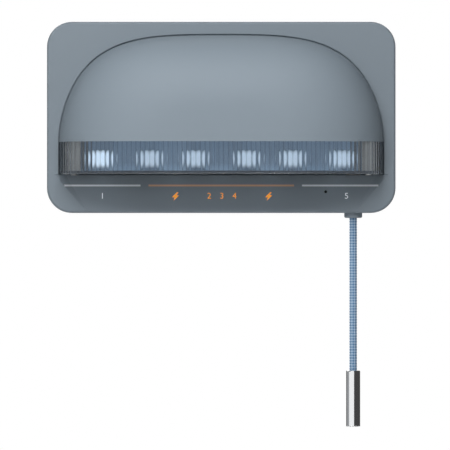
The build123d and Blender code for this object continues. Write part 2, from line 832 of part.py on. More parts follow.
with BuildPart() as board_components:
    with BuildSketch(at_depth(main_board_front)):
        with Locations(*board_points(chip_places)):
            Rectangle(chip_side, chip_side)
    extrude(amount=chip_height)
    with BuildSketch(at_depth(main_board_front)):
        with Locations(*board_points(coil_places)):
            Rectangle(coil_side, coil_side)
    extrude(amount=coil_height)
    with BuildSketch(at_depth(main_board_front)):
        draw_posts(board_points(can_places), can_radius)
    extrude(amount=can_height)
    with BuildSketch(at_depth(main_board_front)):
        with Locations(*board_points(plug_places)):
            Rectangle(plug_length, plug_width)
    extrude(amount=plug_height)
finish(board_components, "board_components")

# Battery cell lying over the liner, and its cradle
cell_level = liner_roof + cradle_wall + seat_gap + cell_diameter / 2
with BuildPart() as battery_cell:
    with BuildSketch(Plane.YZ.offset(-cell_length / 2)):
        draw_posts([(-cell_depth, cell_level)], cell_diameter / 2)
    extrude(amount=cell_length)
    with BuildSketch(Plane.YZ.offset(cell_length / 2)):
        draw_posts([(-cell_depth, cell_level)], cell_diameter / 6)
    extrude(amount=cell_button)
finish(battery_cell, "battery_cell")

with BuildPart() as battery_cradle:
    with BuildSketch(Plane.XY.offset(liner_roof)):
        with Locations((0, -cell_depth)):
            Rectangle(2 * cradle_half, cradle_width)
    extrude(amount=cradle_wall + cradle_height)
    with BuildSketch(Plane.XY.offset(liner_roof + cradle_wall)):
        with Locations((0, -cell_depth)):
            Rectangle(2 * (cradle_half - cradle_wall), cradle_width - 2 * cradle_wall)
    extrude(amount=cradle_height, mode=Mode.SUBTRACT)
    # Screw ears at both ends
    with BuildSketch(Plane.XY.offset(ear_level)):
        with Locations((0, -cell_depth)):
            Rectangle(2 * (cradle_screw_x + small_boss), 2 * small_boss)
            Rectangle(2 * cradle_half - cradle_wall, 2 * small_boss, mode=Mode.SUBTRACT)
    extrude(amount=cradle_wall)
    with BuildSketch(Plane.XY.offset(ear_level)):
        draw_pilots([(x, -depth) for x, depth in cradle_screws], small_screw_shank + fit_gap)
    extrude(amount=cradle_wall, mode=Mode.SUBTRACT)
finish(battery_cradle, "battery_cradle")

# Charging board and its socket, whose mouth stands in a slot of the underside
with BuildPart() as charge_board:
    with BuildSketch(at_depth(small_board_back)):
        with Locations((socket_place, charge_board_bottom)):
            Rectangle(charge_board_width, charge_board_height, align=(Align.CENTER, Align.MIN))
        draw_pilots(charge_board_screws, small_screw_shank + fit_gap, mode=Mode.SUBTRACT)
    extrude(amount=small_board_thickness)
finish(charge_board, "charge_board")

socket_middle = -(small_board_back - socket_thickness / 2)
tongue_width = socket_width - 2 * (socket_wall + socket_tongue_side)
with BuildPart() as charge_socket:
    with BuildSketch(Plane.XY.offset(bottom_level + socket_recess)):
        with Locations((socket_place, socket_middle)):
            RectangleRounded(socket_width, socket_thickness, socket_thickness / 2 - socket_flat)
    extrude(amount=socket_length)
    with BuildSketch(Plane.XY.offset(bottom_level + socket_recess)):
        with Locations((socket_place, socket_middle)):
            RectangleRounded(
                socket_width - 2 * socket_wall,
                socket_thickness - 2 * socket_wall,
                socket_thickness / 2 - socket_wall - socket_flat,
            )
            Rectangle(tongue_width, socket_tongue, mode=Mode.SUBTRACT)
    extrude(amount=socket_length - socket_floor, mode=Mode.SUBTRACT)
finish(charge_socket, "charge_socket")

# Switch board with its indicator, and the light pipe in the panel
with BuildPart() as switch_board:
    with BuildSketch(at_depth(small_board_back)):
        with Locations((switch_board_left, switch_board_bottom)):
            Rectangle(
                switch_board_right - switch_board_left,
                switch_board_height,
                align=(Align.MIN, Align.MIN),
            )
        draw_pilots(switch_board_screws, small_screw_shank + fit_gap, mode=Mode.SUBTRACT)
    extrude(amount=small_board_thickness)
finish(switch_board, "switch_board")

with BuildPart() as indicator_led:
    with BuildSketch(at_depth(small_board_front)):
        with Locations(indicator_place):
            Rectangle(indicator_led_size[0], indicator_led_size[1])
    extrude(amount=indicator_led_size[2])
finish(indicator_led, "indicator_led")

indicator_face = front_depth - scoop_wall(indicator_place[1])
indicator_back = small_board_front + indicator_led_size[2] + fit_gap
with BuildPart() as indicator_lens:
    with BuildSketch(at_depth(indicator_back)):
        with Locations(indicator_place):
            Circle(indicator_diameter / 2)
    extrude(amount=indicator_face - indicator_recess - indicator_back)
finish(indicator_lens, "indicator_lens")

# Detector switch: body with two lugs and the pin that its lever turns on
lug_front = cord_depth + arm_width / 2 + seat_gap
lug_back = cord_depth - arm_width / 2 - seat_gap - lug_thickness
with BuildPart() as detector_switch:
    with BuildSketch(at_depth(lug_back)):
        with Locations((switch_left, pivot_level + switch_body_rise)):
            Rectangle(
                pivot_place - lever_hub - 2 * seat_gap - switch_left,
                switch_body_height,
                align=(Align.MIN, Align.MAX),
            )
    extrude(amount=small_board_back - lug_back)
    for depth in (lug_back, lug_front):
        with BuildSketch(at_depth(depth)):
            with Locations((switch_left + lug_overlap, pivot_level)):
                Rectangle(
                    pivot_place - switch_left - lug_overlap,
                    2 * lever_hub,
                    align=(Align.MIN, Align.CENTER),
                )
            with Locations((pivot_place, pivot_level)):
                Circle(lever_hub)
        extrude(amount=lug_thickness)
    with BuildSketch(at_depth(lug_back)):
        with Locations((pivot_place, pivot_level)):
            Circle(pivot_pin)
    extrude(amount=lug_front - lug_back)
finish(detector_switch, "detector_switch")

# Switch lever: hub on the pin and a flat arm under the slider's arm
with BuildPart() as switch_lever:
    with BuildSketch(at_depth(cord_depth - arm_width / 2)):
        with Locations((pivot_place, pivot_level)):
            Circle(lever_hub)
            Rectangle(lever_length, lever_thickness, align=(Align.MIN, Align.CENTER))
            Circle(pivot_pin + pivot_clearance, mode=Mode.SUBTRACT)
    extrude(amount=arm_width)
    tip = switch_lever.edges().filter_by(Axis.Y).group_by(Axis.X)[-1]
    fillet(tip, lever_thickness / 2 - 0.05)
finish(switch_lever, "switch_lever")

# Cord bushing: rounded collar under the casing, its shank snapped through the floor
with BuildPart() as cord_bushing:
    with BuildSketch(Plane.XY.offset(mouth_level)):
        with Locations((cord_place, -cord_depth)):
            Circle(bushing_diameter / 2)
    extrude(amount=bushing_height)
    chamfer(cord_bushing.edges().group_by(Axis.Z)[0], bushing_edge)
    with BuildSketch(Plane.XY.offset(bottom_level)):
        with Locations((cord_place, -cord_depth)):
            Circle(bushing_shank / 2)
    extrude(amount=bushing_rise)
    with BuildSketch(Plane.XY.offset(floor_level + slack)):
        with Locations((cord_place, -cord_depth)):
            Circle(bushing_shank / 2 + bushing_barb)
    extrude(amount=bushing_barb, taper=30)
    with BuildSketch(Plane.XY.offset(mouth_level)):
        with Locations((cord_place, -cord_depth)):
            Circle(bushing_bore / 2)
    extrude(amount=bushing_top - mouth_level, mode=Mode.SUBTRACT)
    mouth = cord_bushing.edges().filter_by(GeomType.CIRCLE).group_by(Axis.Z)[0].sort_by(SortBy.RADIUS)[0]
    chamfer(mouth, bushing_flare, bushing_mouth)
finish(cord_bushing, "cord_bushing")

# Switch guide: tube round the slider, closed at the top, with a slot for the slider's arm
flange_left = cord_place + guide_outer - guide_web_sink
with BuildPart() as switch_guide:
    with BuildSketch(Plane.XY.offset(guide_bottom)):
        with Locations((cord_place, -cord_depth)):
            Circle(guide_outer)
    extrude(amount=guide_top - guide_bottom)
    with BuildSketch(at_depth(small_board_back)):
        with Locations((flange_left, guide_screws[0][1] - small_boss)):
            Rectangle(
                guide_screws[0][0] + small_boss - flange_left,
                guide_screws[1][1] - guide_screws[0][1] + 2 * small_boss,
                align=(Align.MIN, Align.MIN),
            )
    extrude(amount=small_board_thickness)
    with BuildSketch(at_depth(small_board_back)):
        draw_pilots(guide_screws, small_screw_shank + fit_gap)
    extrude(amount=small_board_thickness, mode=Mode.SUBTRACT)
    # Web between the tube and the flange
    with BuildSketch(Plane.XY.offset(guide_screws[0][1] - small_boss)):
        with Locations((flange_left, -cord_depth)):
            Rectangle(guide_web, small_board_front - cord_depth, align=(Align.MIN, Align.MAX))
    extrude(amount=guide_screws[1][1] - guide_screws[0][1] + 2 * small_boss)
    with BuildSketch(Plane.XY.offset(guide_bottom)):
        with Locations((cord_place, -cord_depth)):
            Circle(guide_inner)
    extrude(amount=guide_top - guide_cap - guide_bottom, mode=Mode.SUBTRACT)
    with BuildSketch(Plane.XY.offset(guide_bottom)):
        with Locations((cord_place, -cord_depth)):
            Rectangle(guide_outer + guide_wall, arm_width + 2 * seat_gap, align=(Align.MAX, Align.CENTER))
    extrude(amount=arm_bottom + arm_height + seat_gap - guide_bottom, mode=Mode.SUBTRACT)
finish(switch_guide, "switch_guide")

# Pull slider: plunger with a pocket for the ferrule and an arm with a round nose
with BuildPart() as pull_slider:
    with BuildSketch(Plane.XY.offset(slider_bottom)):
        with Locations((cord_place, -cord_depth)):
            Circle(slider_radius)
    extrude(amount=slider_length)
    with BuildSketch(at_depth(cord_depth - arm_width / 2)):
        with Locations((cord_place - arm_reach, arm_bottom)):
            Rectangle(arm_reach, arm_height, align=(Align.MIN, Align.MIN))
    extrude(amount=arm_width)
    nose = pull_slider.edges().filter_by(Axis.Y).group_by(Axis.X)[0].sort_by(Axis.Z)[0]
    fillet(nose, arm_height / 3)
    with BuildSketch(Plane.XY.offset(slider_bottom)):
        with Locations((cord_place, -cord_depth)):
            Circle(cord_radius + slider_clearance)
    extrude(amount=slider_length, mode=Mode.SUBTRACT)
    with BuildSketch(Plane.XY.offset(ferrule_bottom)):
        with Locations((cord_place, -cord_depth)):
            Circle(ferrule_diameter / 2 + slider_clearance)
    extrude(amount=ferrule_length, mode=Mode.SUBTRACT)
finish(pull_slider, "pull_slider")

# Ferrule crimped on the cord's inner end
with BuildPart() as cord_ferrule:
    with BuildSketch(Plane.XY.offset(ferrule_bottom)):
        with Locations((cord_place, -cord_depth)):
            Circle(ferrule_diameter / 2)
            Circle(cord_radius + thread_play, mode=Mode.SUBTRACT)
    extrude(amount=ferrule_length - ferrule_proud - slack)
finish(cord_ferrule, "cord_ferrule")

# Inner end of the cord, from the ferrule to just inside the bushing's mouth
inner_end_bottom = mouth_level + cord_radius + joint_gap
with BuildPart() as cord_inner_end:
    with BuildSketch(Plane.XY.offset(inner_end_bottom)):
        with Locations((cord_place, -cord_depth)):
            Circle(cord_radius)
    extrude(amount=slider_top - seat_gap - slack - inner_end_bottom)
finish(cord_inner_end, "cord_inner_end")

# Return spring between the bushing's top and the slider: square wire in short ruled lengths
spring_base = bushing_top + spring_wire / 2 + slack
spring_travel = slider_bottom - spring_wire / 2 - slack - spring_base
spring_steps = spring_turns * spring_facets
with BuildPart() as return_spring:
    for step in range(spring_steps + 1):
        turn = radians(360 * step / spring_facets)
        across = Vector(cos(turn), sin(turn))
        along = Vector(-sin(turn), cos(turn))
        middle = across * spring_mean / 2
        level = spring_base + spring_travel * step / spring_steps
        with BuildSketch(Plane((cord_place + middle.X, middle.Y - cord_depth, level), across, along)):
            Rectangle(spring_wire, spring_wire)
    loft(ruled=True)
finish(return_spring, "return_spring")

# Hanging cord, its upper end drawn in towards the point that it swings about
with BuildPart() as pull_cord:
    with BuildSketch(Plane.XY.offset(weight_top - weight_bore_depth)):
        with Locations((cord_place, -cord_depth)):
            Circle(cord_radius)
    extrude(amount=hanging_length + weight_bore_depth + cord_point)
    chamfer(pull_cord.edges().group_by(Axis.Z)[-1], cord_point, cord_radius / 2)
finish(pull_cord, "pull_cord")

# Pull weight: turned steel bar, bored for the cord
with BuildPart() as pull_weight:
    with BuildSketch(Plane.XY.offset(weight_bottom)):
        with Locations((cord_place, -cord_depth)):
            Circle(weight_diameter / 2)
    extrude(amount=weight_length)
    chamfer(pull_weight.edges(), weight_chamfer)
    with BuildSketch(Plane.XY.offset(weight_top)):
        with Locations((cord_place, -cord_depth)):
            Circle(cord_radius + slider_clearance)
    extrude(amount=-weight_bore_depth, mode=Mode.SUBTRACT)
finish(pull_weight, "pull_weight")

# Screws
with BuildPart() as rear_screws:
    add(
        screw_set(
            housing_screws + liner_screws,
            at_depth(cover_back + case_screw_head_height),
            1,
            case_screw_head,
            case_screw_head_height,
            case_screw_shank,
            case_screw_length,
        )
    )
finish(rear_screws, "rear_screws")

with BuildPart() as hood_screws:
    add(
        screw_set(
            hood_screw_places,
            at_depth(flange_back),
            1,
            hood_screw_head,
            small_screw_head_height,
            small_screw_shank,
            hood_screw_length,
        )
    )
finish(hood_screws, "hood_screws")

with BuildPart() as board_screws:
    add(
        screw_set(
            main_board_screws,
            at_depth(main_board_front),
            -1,
            small_screw_head,
            small_screw_head_height,
            small_screw_shank,
            board_thickness + standoff_height - tip_space,
        )
    )
    add(
        screw_set(
            led_board_screws,
            at_depth(led_board_back),
            1,
            small_screw_head,
            small_screw_head_height,
            small_screw_shank,
            liner_back_front - led_board_back - tip_space,
        )
    )
    add(
        screw_set(
            small_board_screws,
            at_depth(small_board_back),
            1,
            small_screw_head,
            small_screw_head_height,
            small_screw_shank,
            small_board_thickness + small_pilot - thread_play * 2,
        )
    )
finish(board_screws, "board_screws")

with BuildPart() as chamber_screws:
    add(
        screw_set(
            [(x, -depth) for x, depth in cradle_screws],
            Plane.XY.offset(ear_level + cradle_wall),
            -1,
            small_screw_head,
            small_screw_head_height,
            small_screw_shank,
            cradle_wall + liner_boss_height - tip_space,
        )
    )
    add(
        screw_set(
            [(x, -depth) for x, depth in tray_screws],
            Plane.XY.offset(tray_bottom),
            1,
            small_screw_head,
            small_screw_head_height,
            small_screw_shank,
            tray_thickness + tray_boss_height - tray_pilot_floor - tip_space,
        )
    )
finish(chamber_screws, "chamber_screws")
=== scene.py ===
import math

import bmesh
import bpy
import numpy as np
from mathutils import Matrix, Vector


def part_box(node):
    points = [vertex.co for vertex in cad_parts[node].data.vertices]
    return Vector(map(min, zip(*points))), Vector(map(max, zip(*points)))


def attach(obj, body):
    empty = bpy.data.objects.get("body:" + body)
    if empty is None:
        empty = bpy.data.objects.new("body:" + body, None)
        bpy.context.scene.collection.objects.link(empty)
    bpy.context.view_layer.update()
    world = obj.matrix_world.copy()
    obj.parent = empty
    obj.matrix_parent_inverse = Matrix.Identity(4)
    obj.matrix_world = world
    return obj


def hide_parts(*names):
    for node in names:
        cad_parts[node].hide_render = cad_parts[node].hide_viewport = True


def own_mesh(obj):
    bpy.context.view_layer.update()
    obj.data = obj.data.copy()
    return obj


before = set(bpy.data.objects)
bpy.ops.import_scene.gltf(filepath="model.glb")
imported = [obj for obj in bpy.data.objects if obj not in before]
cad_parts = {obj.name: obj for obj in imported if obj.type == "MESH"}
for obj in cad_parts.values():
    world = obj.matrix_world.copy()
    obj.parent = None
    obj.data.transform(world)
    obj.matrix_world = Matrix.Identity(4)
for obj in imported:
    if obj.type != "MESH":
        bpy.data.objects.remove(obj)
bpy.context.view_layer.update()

# Wall-hung UV toothbrush sterilizer: a domed hood over a clear reeded window, a lit chamber behind
# it, a panel of printed marks, and a braided pull cord with a steel weight.
# Sizes are in millimetres. A depth is a distance from the wall towards the room, a level is a
# height over the casing's middle, and an inset lies inside the hood's plan curve.
MM = 0.001
WELD = 0.0005
FRONT = -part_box("front_housing")[0][1] / MM

# Hood: an arched foot that rises to a flat crown, with a flange behind the casing's face
HOOD_HALF = 101.0
HOOD_RISE = 66.9
HOOD_DEPTH = 38.0
HOOD_WALL = 2.2
HOOD_SEAM = 0.45
HOOD_BANDS = 29
CROWN_HALF = 41.0
CROWN_RISE = 23.0
CROWN_FLAT = 0.97
ARCH_SHAPE = ((1.0, 0.0), (1.0, 0.412), (0.833, 0.988), (0.575, 1.0), (0.0, 1.0))
ARCH_STEPS = 160
FLANGE_BACK = 14.3
FLANGE_THICKNESS = 1.5
FLANGE_WIDTH = 3.0
EAR_RADIUS = 4.5
EAR_SIDES = 48

# Window: a wall under the hood's edge, reeded outside, and a tongue that stands up behind the edge
WINDOW_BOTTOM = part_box("reeded_window")[0][2] / MM
WINDOW_TOP = -15.3
WINDOW_OVERLAP = 0.05
WINDOW_WALL = 2.0
WINDOW_RIM = 0.8
WINDOW_EDGE = 0.3
RIM_CHAMFER = 0.25
REED_PITCH = 2.85
REED_HEIGHT = 0.2
REED_SETBACK = 0.3
REED_STEPS = 10
TONGUE_TOP = -12.35
TONGUE_OUTSIDE = 2.4
TONGUE_INSIDE = 3.5
PLAN_STEPS = 400

# Chamber liner, from its middle outwards: a wall with painted lamp glow, a stretch of painted shade and
# end caps painted with rib stripes
PAINTED_SHADE_STARTS, PAINTED_SHADE_ENDS = 80.5, 84.5
PAINTED_GLOW_ENDS, CAP_STARTS = 86.2, 87.0
PAINTED_RIB_PITCH = 1.45
FOOT_GLOW_TOP, FOOT_GLOW_FULL = -28.5, -32.0

# Lamp lenses
LENS_POWER = 2.5
LENS_RISE = 0.6
LENS_SIDES = 64
LENS_RINGS = 9
LENS_GLOW_LIFT = 0.12
LEFT_LENS_ENDS, NEXT_LENS_STARTS = -60.0, -50.0

# Lower panel: a scoop that deepens from its foot up to the window, and the marks printed on it
SCOOP_DEPTH = 2.4
SCOOP_FOOT = -58.0
SCOOP_FOOT_HALF = 84.0
SCOOP_SPREAD = 20.2
SCOOP_SIDE_RUN = 3.0
INK_PROUD = 0.04
INK_SUNK = 0.03
LINE_LEVEL = -42.4
LINE_WIDTH = 1.1
LINE_STEPS = 120
BOLT_LEVEL = -49.3
BOLT_OUTLINE = ((0.9, 2.65), (-2.2, -0.45), (-0.35, -0.45), (-1.3, -2.65), (2.2, 0.75), (0.35, 0.75),
                (1.9, 2.65))
NUMBER_LEVEL = -49.0
NUMBER_SIZE = 5.2

# Pull cord and its weight
CORD_X, CORD_DEPTH = 82.3, 8.6
CORD_WIDTH = 4.6
CORD_TOP = -60.7
CORD_POINT = 1.9
CORD_STEPS = 640
CORD_SIDES = 96
STRANDS = 8
BRAID_PITCH = 13.6
BRAID_SUNK = 0.12
BRAID_RELIEF = 0.2
WEIGHT_TOP = -157.9
WEIGHT_BORE = 8.0
WEIGHT_EDGE = 0.35
WEIGHT_SIDES = 192
BORE_PLAY = 0.1
BORE_EDGE = 0.3

# Screws: pan heads with a crossed recess, and a coarse thread
SCREW_HEAD = 1.2
SCREW_DOME = 0.25
SCREW_RIM = 0.15
SCREW_NECK = 0.1
SCREW_SHANK = 0.95
SCREW_POINT = 1.2
SCREW_SIDES = 48
HEAD_RINGS = 14
CROSS_HALF, CROSS_SLOPE = 0.17, 0.06
CROSS_REACH, CROSS_END = 0.62, 0.08
CROSS_SUNK = 0.55
THREAD_PITCH = 0.8
THREAD_DEPTH = 0.22
THREAD_STEP = 0.2

# Battery cell
CELL_SHOULDER = 0.9
CELL_BUTTON = 0.8
CELL_BUTTON_RADIUS = 3.0


# Materials

def linear(hex_colour):
    """sRGB hex to linear RGBA: each channel c becomes c / 12.92 or ((c + 0.055) / 1.055) ** 2.4."""
    parts = [int(hex_colour[i:i + 2], 16) / 255 for i in (1, 3, 5)]
    return tuple(c / 12.92 if c <= 0.04045 else ((c + 0.055) / 1.055) ** 2.4 for c in parts) + (1.0,)


def scaled(colour, factor):
    """A linear colour made lighter or darker by a factor."""
    return tuple(min(1.0, c * factor) for c in colour[:3]) + (1.0,)


def add(tree, kind, links=None, **settings):
    """One node with its settings; links gives each input, by name or index, a socket or a value."""
    node = tree.nodes.new("ShaderNode" + kind)
    for name, value in settings.items():
        setattr(node, name, value)
    for name, value in (links or {}).items():
        if isinstance(value, bpy.types.NodeSocket):
            tree.links.new(value, node.inputs[name])
        else:
            node.inputs[name].default_value = value
    return node


def begin(name):
    """A new node material, with its tree, its Principled shader and its Object coordinates."""
    material = bpy.data.materials.new(name)
    material.use_nodes = True
    tree = material.node_tree
    tree.nodes.clear()
    shader = add(tree, "BsdfPrincipled")
    add(tree, "OutputMaterial", {"Surface": shader.outputs["BSDF"]})
    place = add(tree, "TexCoord").outputs["Object"]
    return material, tree, shader, place


def moulded(name, colour, grain_mm, rough, bump=0.10, tint=0.04, ior=1.53):
    """Injection-moulded plastic: a slow drift in its colour, grain of grain_mm in gloss and relief."""
    material, tree, shader, place = begin(name)
    drift = add(tree, "TexNoise", {"Vector": place, "Scale": 1 / (60 * MM), "Detail": 2.0})
    grain = add(tree, "TexNoise", {"Vector": place, "Scale": 1 / (grain_mm * MM), "Detail": 3.0})
    base = linear(colour)
    mix = add(tree, "Mix", {0: drift.outputs["Fac"], 6: scaled(base, 1 - tint),
                            7: scaled(base, 1 + tint)}, data_type="RGBA")
    spread = add(tree, "MapRange", {"Value": grain.outputs["Fac"], "To Min": rough - 0.05,
                                    "To Max": rough + 0.05})
    relief = add(tree, "Bump", {"Height": grain.outputs["Fac"], "Strength": bump,
                                "Distance": 0.05 * MM})
    tree.links.new(mix.outputs[2], shader.inputs["Base Color"])
    tree.links.new(spread.outputs["Result"], shader.inputs["Roughness"])
    tree.links.new(relief.outputs["Normal"], shader.inputs["Normal"])
    shader.inputs["IOR"].default_value = ior
    return material


def worked_metal(name, colour, rough, stretch, grain_mm=0.4, bump=0.05):
    """Worked metal: fine scratches of grain_mm, stretched by a factor along X, Y and Z."""
    material, tree, shader, place = begin(name)
    aim = add(tree, "Mapping", {"Vector": place, "Scale": tuple(1 / s for s in stretch)})
    grain = add(tree, "TexNoise", {"Vector": aim.outputs["Vector"], "Scale": 1 / (grain_mm * MM),
                                   "Detail": 4.0})
    spread = add(tree, "MapRange", {"Value": grain.outputs["Fac"], "To Min": rough * 0.7,
                                    "To Max": rough * 1.4})
    relief = add(tree, "Bump", {"Height": grain.outputs["Fac"], "Strength": bump,
                                "Distance": 0.02 * MM})
    shader.inputs["Base Color"].default_value = linear(colour)
    shader.inputs["Metallic"].default_value = 1.0
    tree.links.new(spread.outputs["Result"], shader.inputs["Roughness"])
    tree.links.new(relief.outputs["Normal"], shader.inputs["Normal"])
    return material


# ABS from a spark-eroded mould: a satin skin with a grain finer than half a millimetre,
# drawn at 0.6 mm so that it still shows
casing = moulded("abs_spark_eroded", "#828e98", 0.6, 0.66, bump=0.16, tint=0.015)
# Painted shade: the housing's copy of this ABS is darker, so that the face plate renders darker than the
# hood under the same lamps
housing = moulded("abs_spark_eroded_painted_darker", "#79848d", 0.6, 0.66, bump=0.16, tint=0.015)
# Plain moulded ABS of the hidden sides: a coarser grain and a little more gloss
back_casing = moulded("abs_moulded_back", "#7c8893", 0.9, 0.55, bump=0.2)
plate_plastic = moulded("abs_moulded_plate", "#c6c9cd", 0.8, 0.5)
tray_plastic = moulded("abs_moulded_tray", "#4a5058", 0.7, 0.5)
inner_plastic = moulded("abs_moulded_black", "#26282b", 0.8, 0.5)
# Acetal: pale and waxy, nearly smooth
acetal = moulded("acetal_moulded", "#e4e3de", 1.2, 0.38, bump=0.05, ior=1.48)
# Epoxy packages: dull black with a fine grain
epoxy = moulded("epoxy_moulded_package", "#1c1d20", 0.5, 0.45)
# Acrylic foam tape: no shine, with pores about a millimetre apart
foam = moulded("acrylic_foam_tape", "#e8e8e2", 0.9, 0.85, bump=0.5)
# Shrink sleeve: a glossy film, drawn tight
sleeve = moulded("pvc_shrink_sleeve", "#2f62a8", 3.0, 0.22, bump=0.05)
# Smoked polycarbonate: nearly black and glossy
smoked = moulded("smoked_polycarbonate", "#17181b", 1.0, 0.12, bump=0.02, ior=1.58)
# Silicone over a lamp's chip: pale yellow
chip = moulded("lamp_package_silicone", "#efe6b6", 0.5, 0.4)
# Plated steel: grey with a broken shine on screws, drawn along the socket's shell
steel_screw = worked_metal("zinc_plated_steel", "#c4c5c7", 0.32, (1, 1, 1), 0.3, 0.1)
steel_socket = worked_metal("nickel_plated_steel", "#c9c8c4", 0.25, (6, 1, 1), 0.3)
# Drawn wire: bright, with short scratches along it
steel_spring = worked_metal("drawn_spring_wire", "#b9babd", 0.22, (1, 1, 3), 0.2)
# Turned brass: warm, with fine rings round its axis
brass_ferrule = worked_metal("brass_turned", "#c9a15a", 0.28, (8, 8, 1), 0.3)
# Steel bar, ground and polished round its axis: fine rings that blur reflections a little
steel_weight = worked_metal("stainless_polished", "#eceef0", 0.07, (12, 12, 1), 0.5, 0.02)


def board_material():
    """Printed board: green solder mask, copper tracks 0.4 mm wide at 2.5 mm spacing under it."""
    material, tree, shader, place = begin("fr4_solder_mask")
    spread = add(tree, "SeparateXYZ", {"Vector": place})
    wobble = add(tree, "TexVoronoi", {"Vector": place, "Scale": 1 / (7 * MM)}, distance="MANHATTAN")
    lanes = add(tree, "Math", {0: wobble.outputs["Distance"], 1: 2.5 * MM, 2: spread.outputs["Z"]},
                operation="MULTIPLY_ADD")
    wave = add(tree, "Math", {0: lanes.outputs[0], 1: 2.5 * MM}, operation="FLOORED_MODULO")
    track = add(tree, "Math", {0: wave.outputs[0], 1: 0.4 * MM}, operation="LESS_THAN")
    mix = add(tree, "Mix", {0: track.outputs[0], 6: linear("#0f4a2b"), 7: linear("#1f7a48")},
              data_type="RGBA")
    tree.links.new(mix.outputs[2], shader.inputs["Base Color"])
    shader.inputs["Roughness"].default_value = 0.3
    return material


def window_material():
    """Clear polycarbonate, injection moulded: faintly blue-grey and hazy, with painted shade that darkens
    the reeds' valleys.

    The UV map's U is 0 in a valley and 1 on a crest.
    """
    material, tree, shader, place = begin("polycarbonate_clear_painted_valley_shade")
    flow = add(tree, "TexNoise", {"Vector": place, "Scale": 1 / (12 * MM), "Detail": 2.0})
    haze = add(tree, "MapRange", {"Value": flow.outputs["Fac"], "To Min": 0.04, "To Max": 0.12})
    tree.links.new(haze.outputs["Result"], shader.inputs["Roughness"])
    height = add(tree, "SeparateXYZ", {"Vector": add(tree, "UVMap").outputs["UV"]})
    # Painted shade: the transmitted colour darkens from the crest into each reed's valley
    crest = add(tree, "MapRange", {"Value": height.outputs["X"], "From Max": 0.4})
    tone = add(tree, "Mix", {0: crest.outputs["Result"], 6: linear("#97a3b0"), 7: linear("#dde4ea")},
               data_type="RGBA")
    tree.links.new(tone.outputs[2], shader.inputs["Base Color"])
    shader.inputs["Transmission Weight"].default_value = 1.0
    shader.inputs["IOR"].default_value = 1.585
    return material


def liner_material():
    """ABS liner: pale warm end caps painted with light and dark rib stripes, and between them a wall with
    painted lamp glow.

    The painted glow is an emission, streaked upright, brighter at the chamber's foot and weak where
    painted shade darkens the wall; the middle wall's blue-grey tone is painted lamp light too.
    """
    material, tree, shader, place = begin("abs_liner_painted_glow_and_shade")
    side = add(tree, "SeparateXYZ", {"Vector": place})
    reach = add(tree, "Math", {0: side.outputs["X"]}, operation="ABSOLUTE")
    inner = add(tree, "MapRange", {"Value": reach.outputs[0], "From Min": PAINTED_GLOW_ENDS * MM,
                                   "From Max": CAP_STARTS * MM, "To Min": 1.0, "To Max": 0.0})
    wave = add(tree, "Math", {0: side.outputs["X"], 1: 2 * math.pi / (PAINTED_RIB_PITCH * MM)},
               operation="MULTIPLY")
    rib = add(tree, "Math", {0: wave.outputs[0]}, operation="SINE")
    ribbed = add(tree, "MapRange", {"Value": rib.outputs[0], "From Min": 0.0, "From Max": 1.0})
    # Painted rib stripes: light and dark bands stand for ribs that the liner's mesh does not have
    painted_rib_stripes = add(tree, "Mix", {0: ribbed.outputs["Result"], 6: linear("#a39e98"), 7: linear("#e6e1da")},
              data_type="RGBA")
    # Painted shade: beside the lamps the wall's blue-grey tone, itself painted lamp light, turns a darker
    # warm grey
    painted_shade_share = add(tree, "MapRange", {"Value": reach.outputs[0], "From Min": PAINTED_SHADE_STARTS * MM,
                                    "From Max": PAINTED_SHADE_ENDS * MM})
    middle = add(tree, "Mix", {0: painted_shade_share.outputs["Result"], 6: linear("#8a98a6"),
                               7: linear("#76716e")}, data_type="RGBA")
    tone = add(tree, "Mix", {0: inner.outputs["Result"], 6: painted_rib_stripes.outputs[2], 7: middle.outputs[2]},
               data_type="RGBA")
    lit = add(tree, "MapRange", {"Value": painted_shade_share.outputs["Result"], "To Min": 1.0, "To Max": 0.3})
    foot = add(tree, "MapRange", {"Value": side.outputs["Z"], "From Min": FOOT_GLOW_TOP * MM,
                                  "From Max": FOOT_GLOW_FULL * MM, "To Min": 1.0, "To Max": 1.7})
    gain = add(tree, "Math", {0: lit.outputs["Result"], 1: foot.outputs["Result"]},
               operation="MULTIPLY")
    tall = add(tree, "Mapping", {"Vector": place, "Scale": (1.0, 1.0, 0.1)})
    streaks = add(tree, "TexNoise", {"Vector": tall.outputs["Vector"], "Scale": 1 / (4 * MM),
                                     "Detail": 2.0})
    level = add(tree, "MapRange", {"Value": streaks.outputs["Fac"], "To Min": 0.1, "To Max": 1.9})
    spread = add(tree, "Math", {0: level.outputs["Result"], 1: inner.outputs["Result"]},
                 operation="MULTIPLY")
    glow = add(tree, "Math", {0: spread.outputs[0], 1: gain.outputs[0]}, operation="MULTIPLY")
    tree.links.new(tone.outputs[2], shader.inputs["Base Color"])
    # Painted lamp light: the liner is no lamp, yet it emits this blue glow
    tree.links.new(glow.outputs[0], shader.inputs["Emission Strength"])
    shader.inputs["Emission Color"].default_value = linear("#435464")
    shader.inputs["Roughness"].default_value = 0.35
    return material


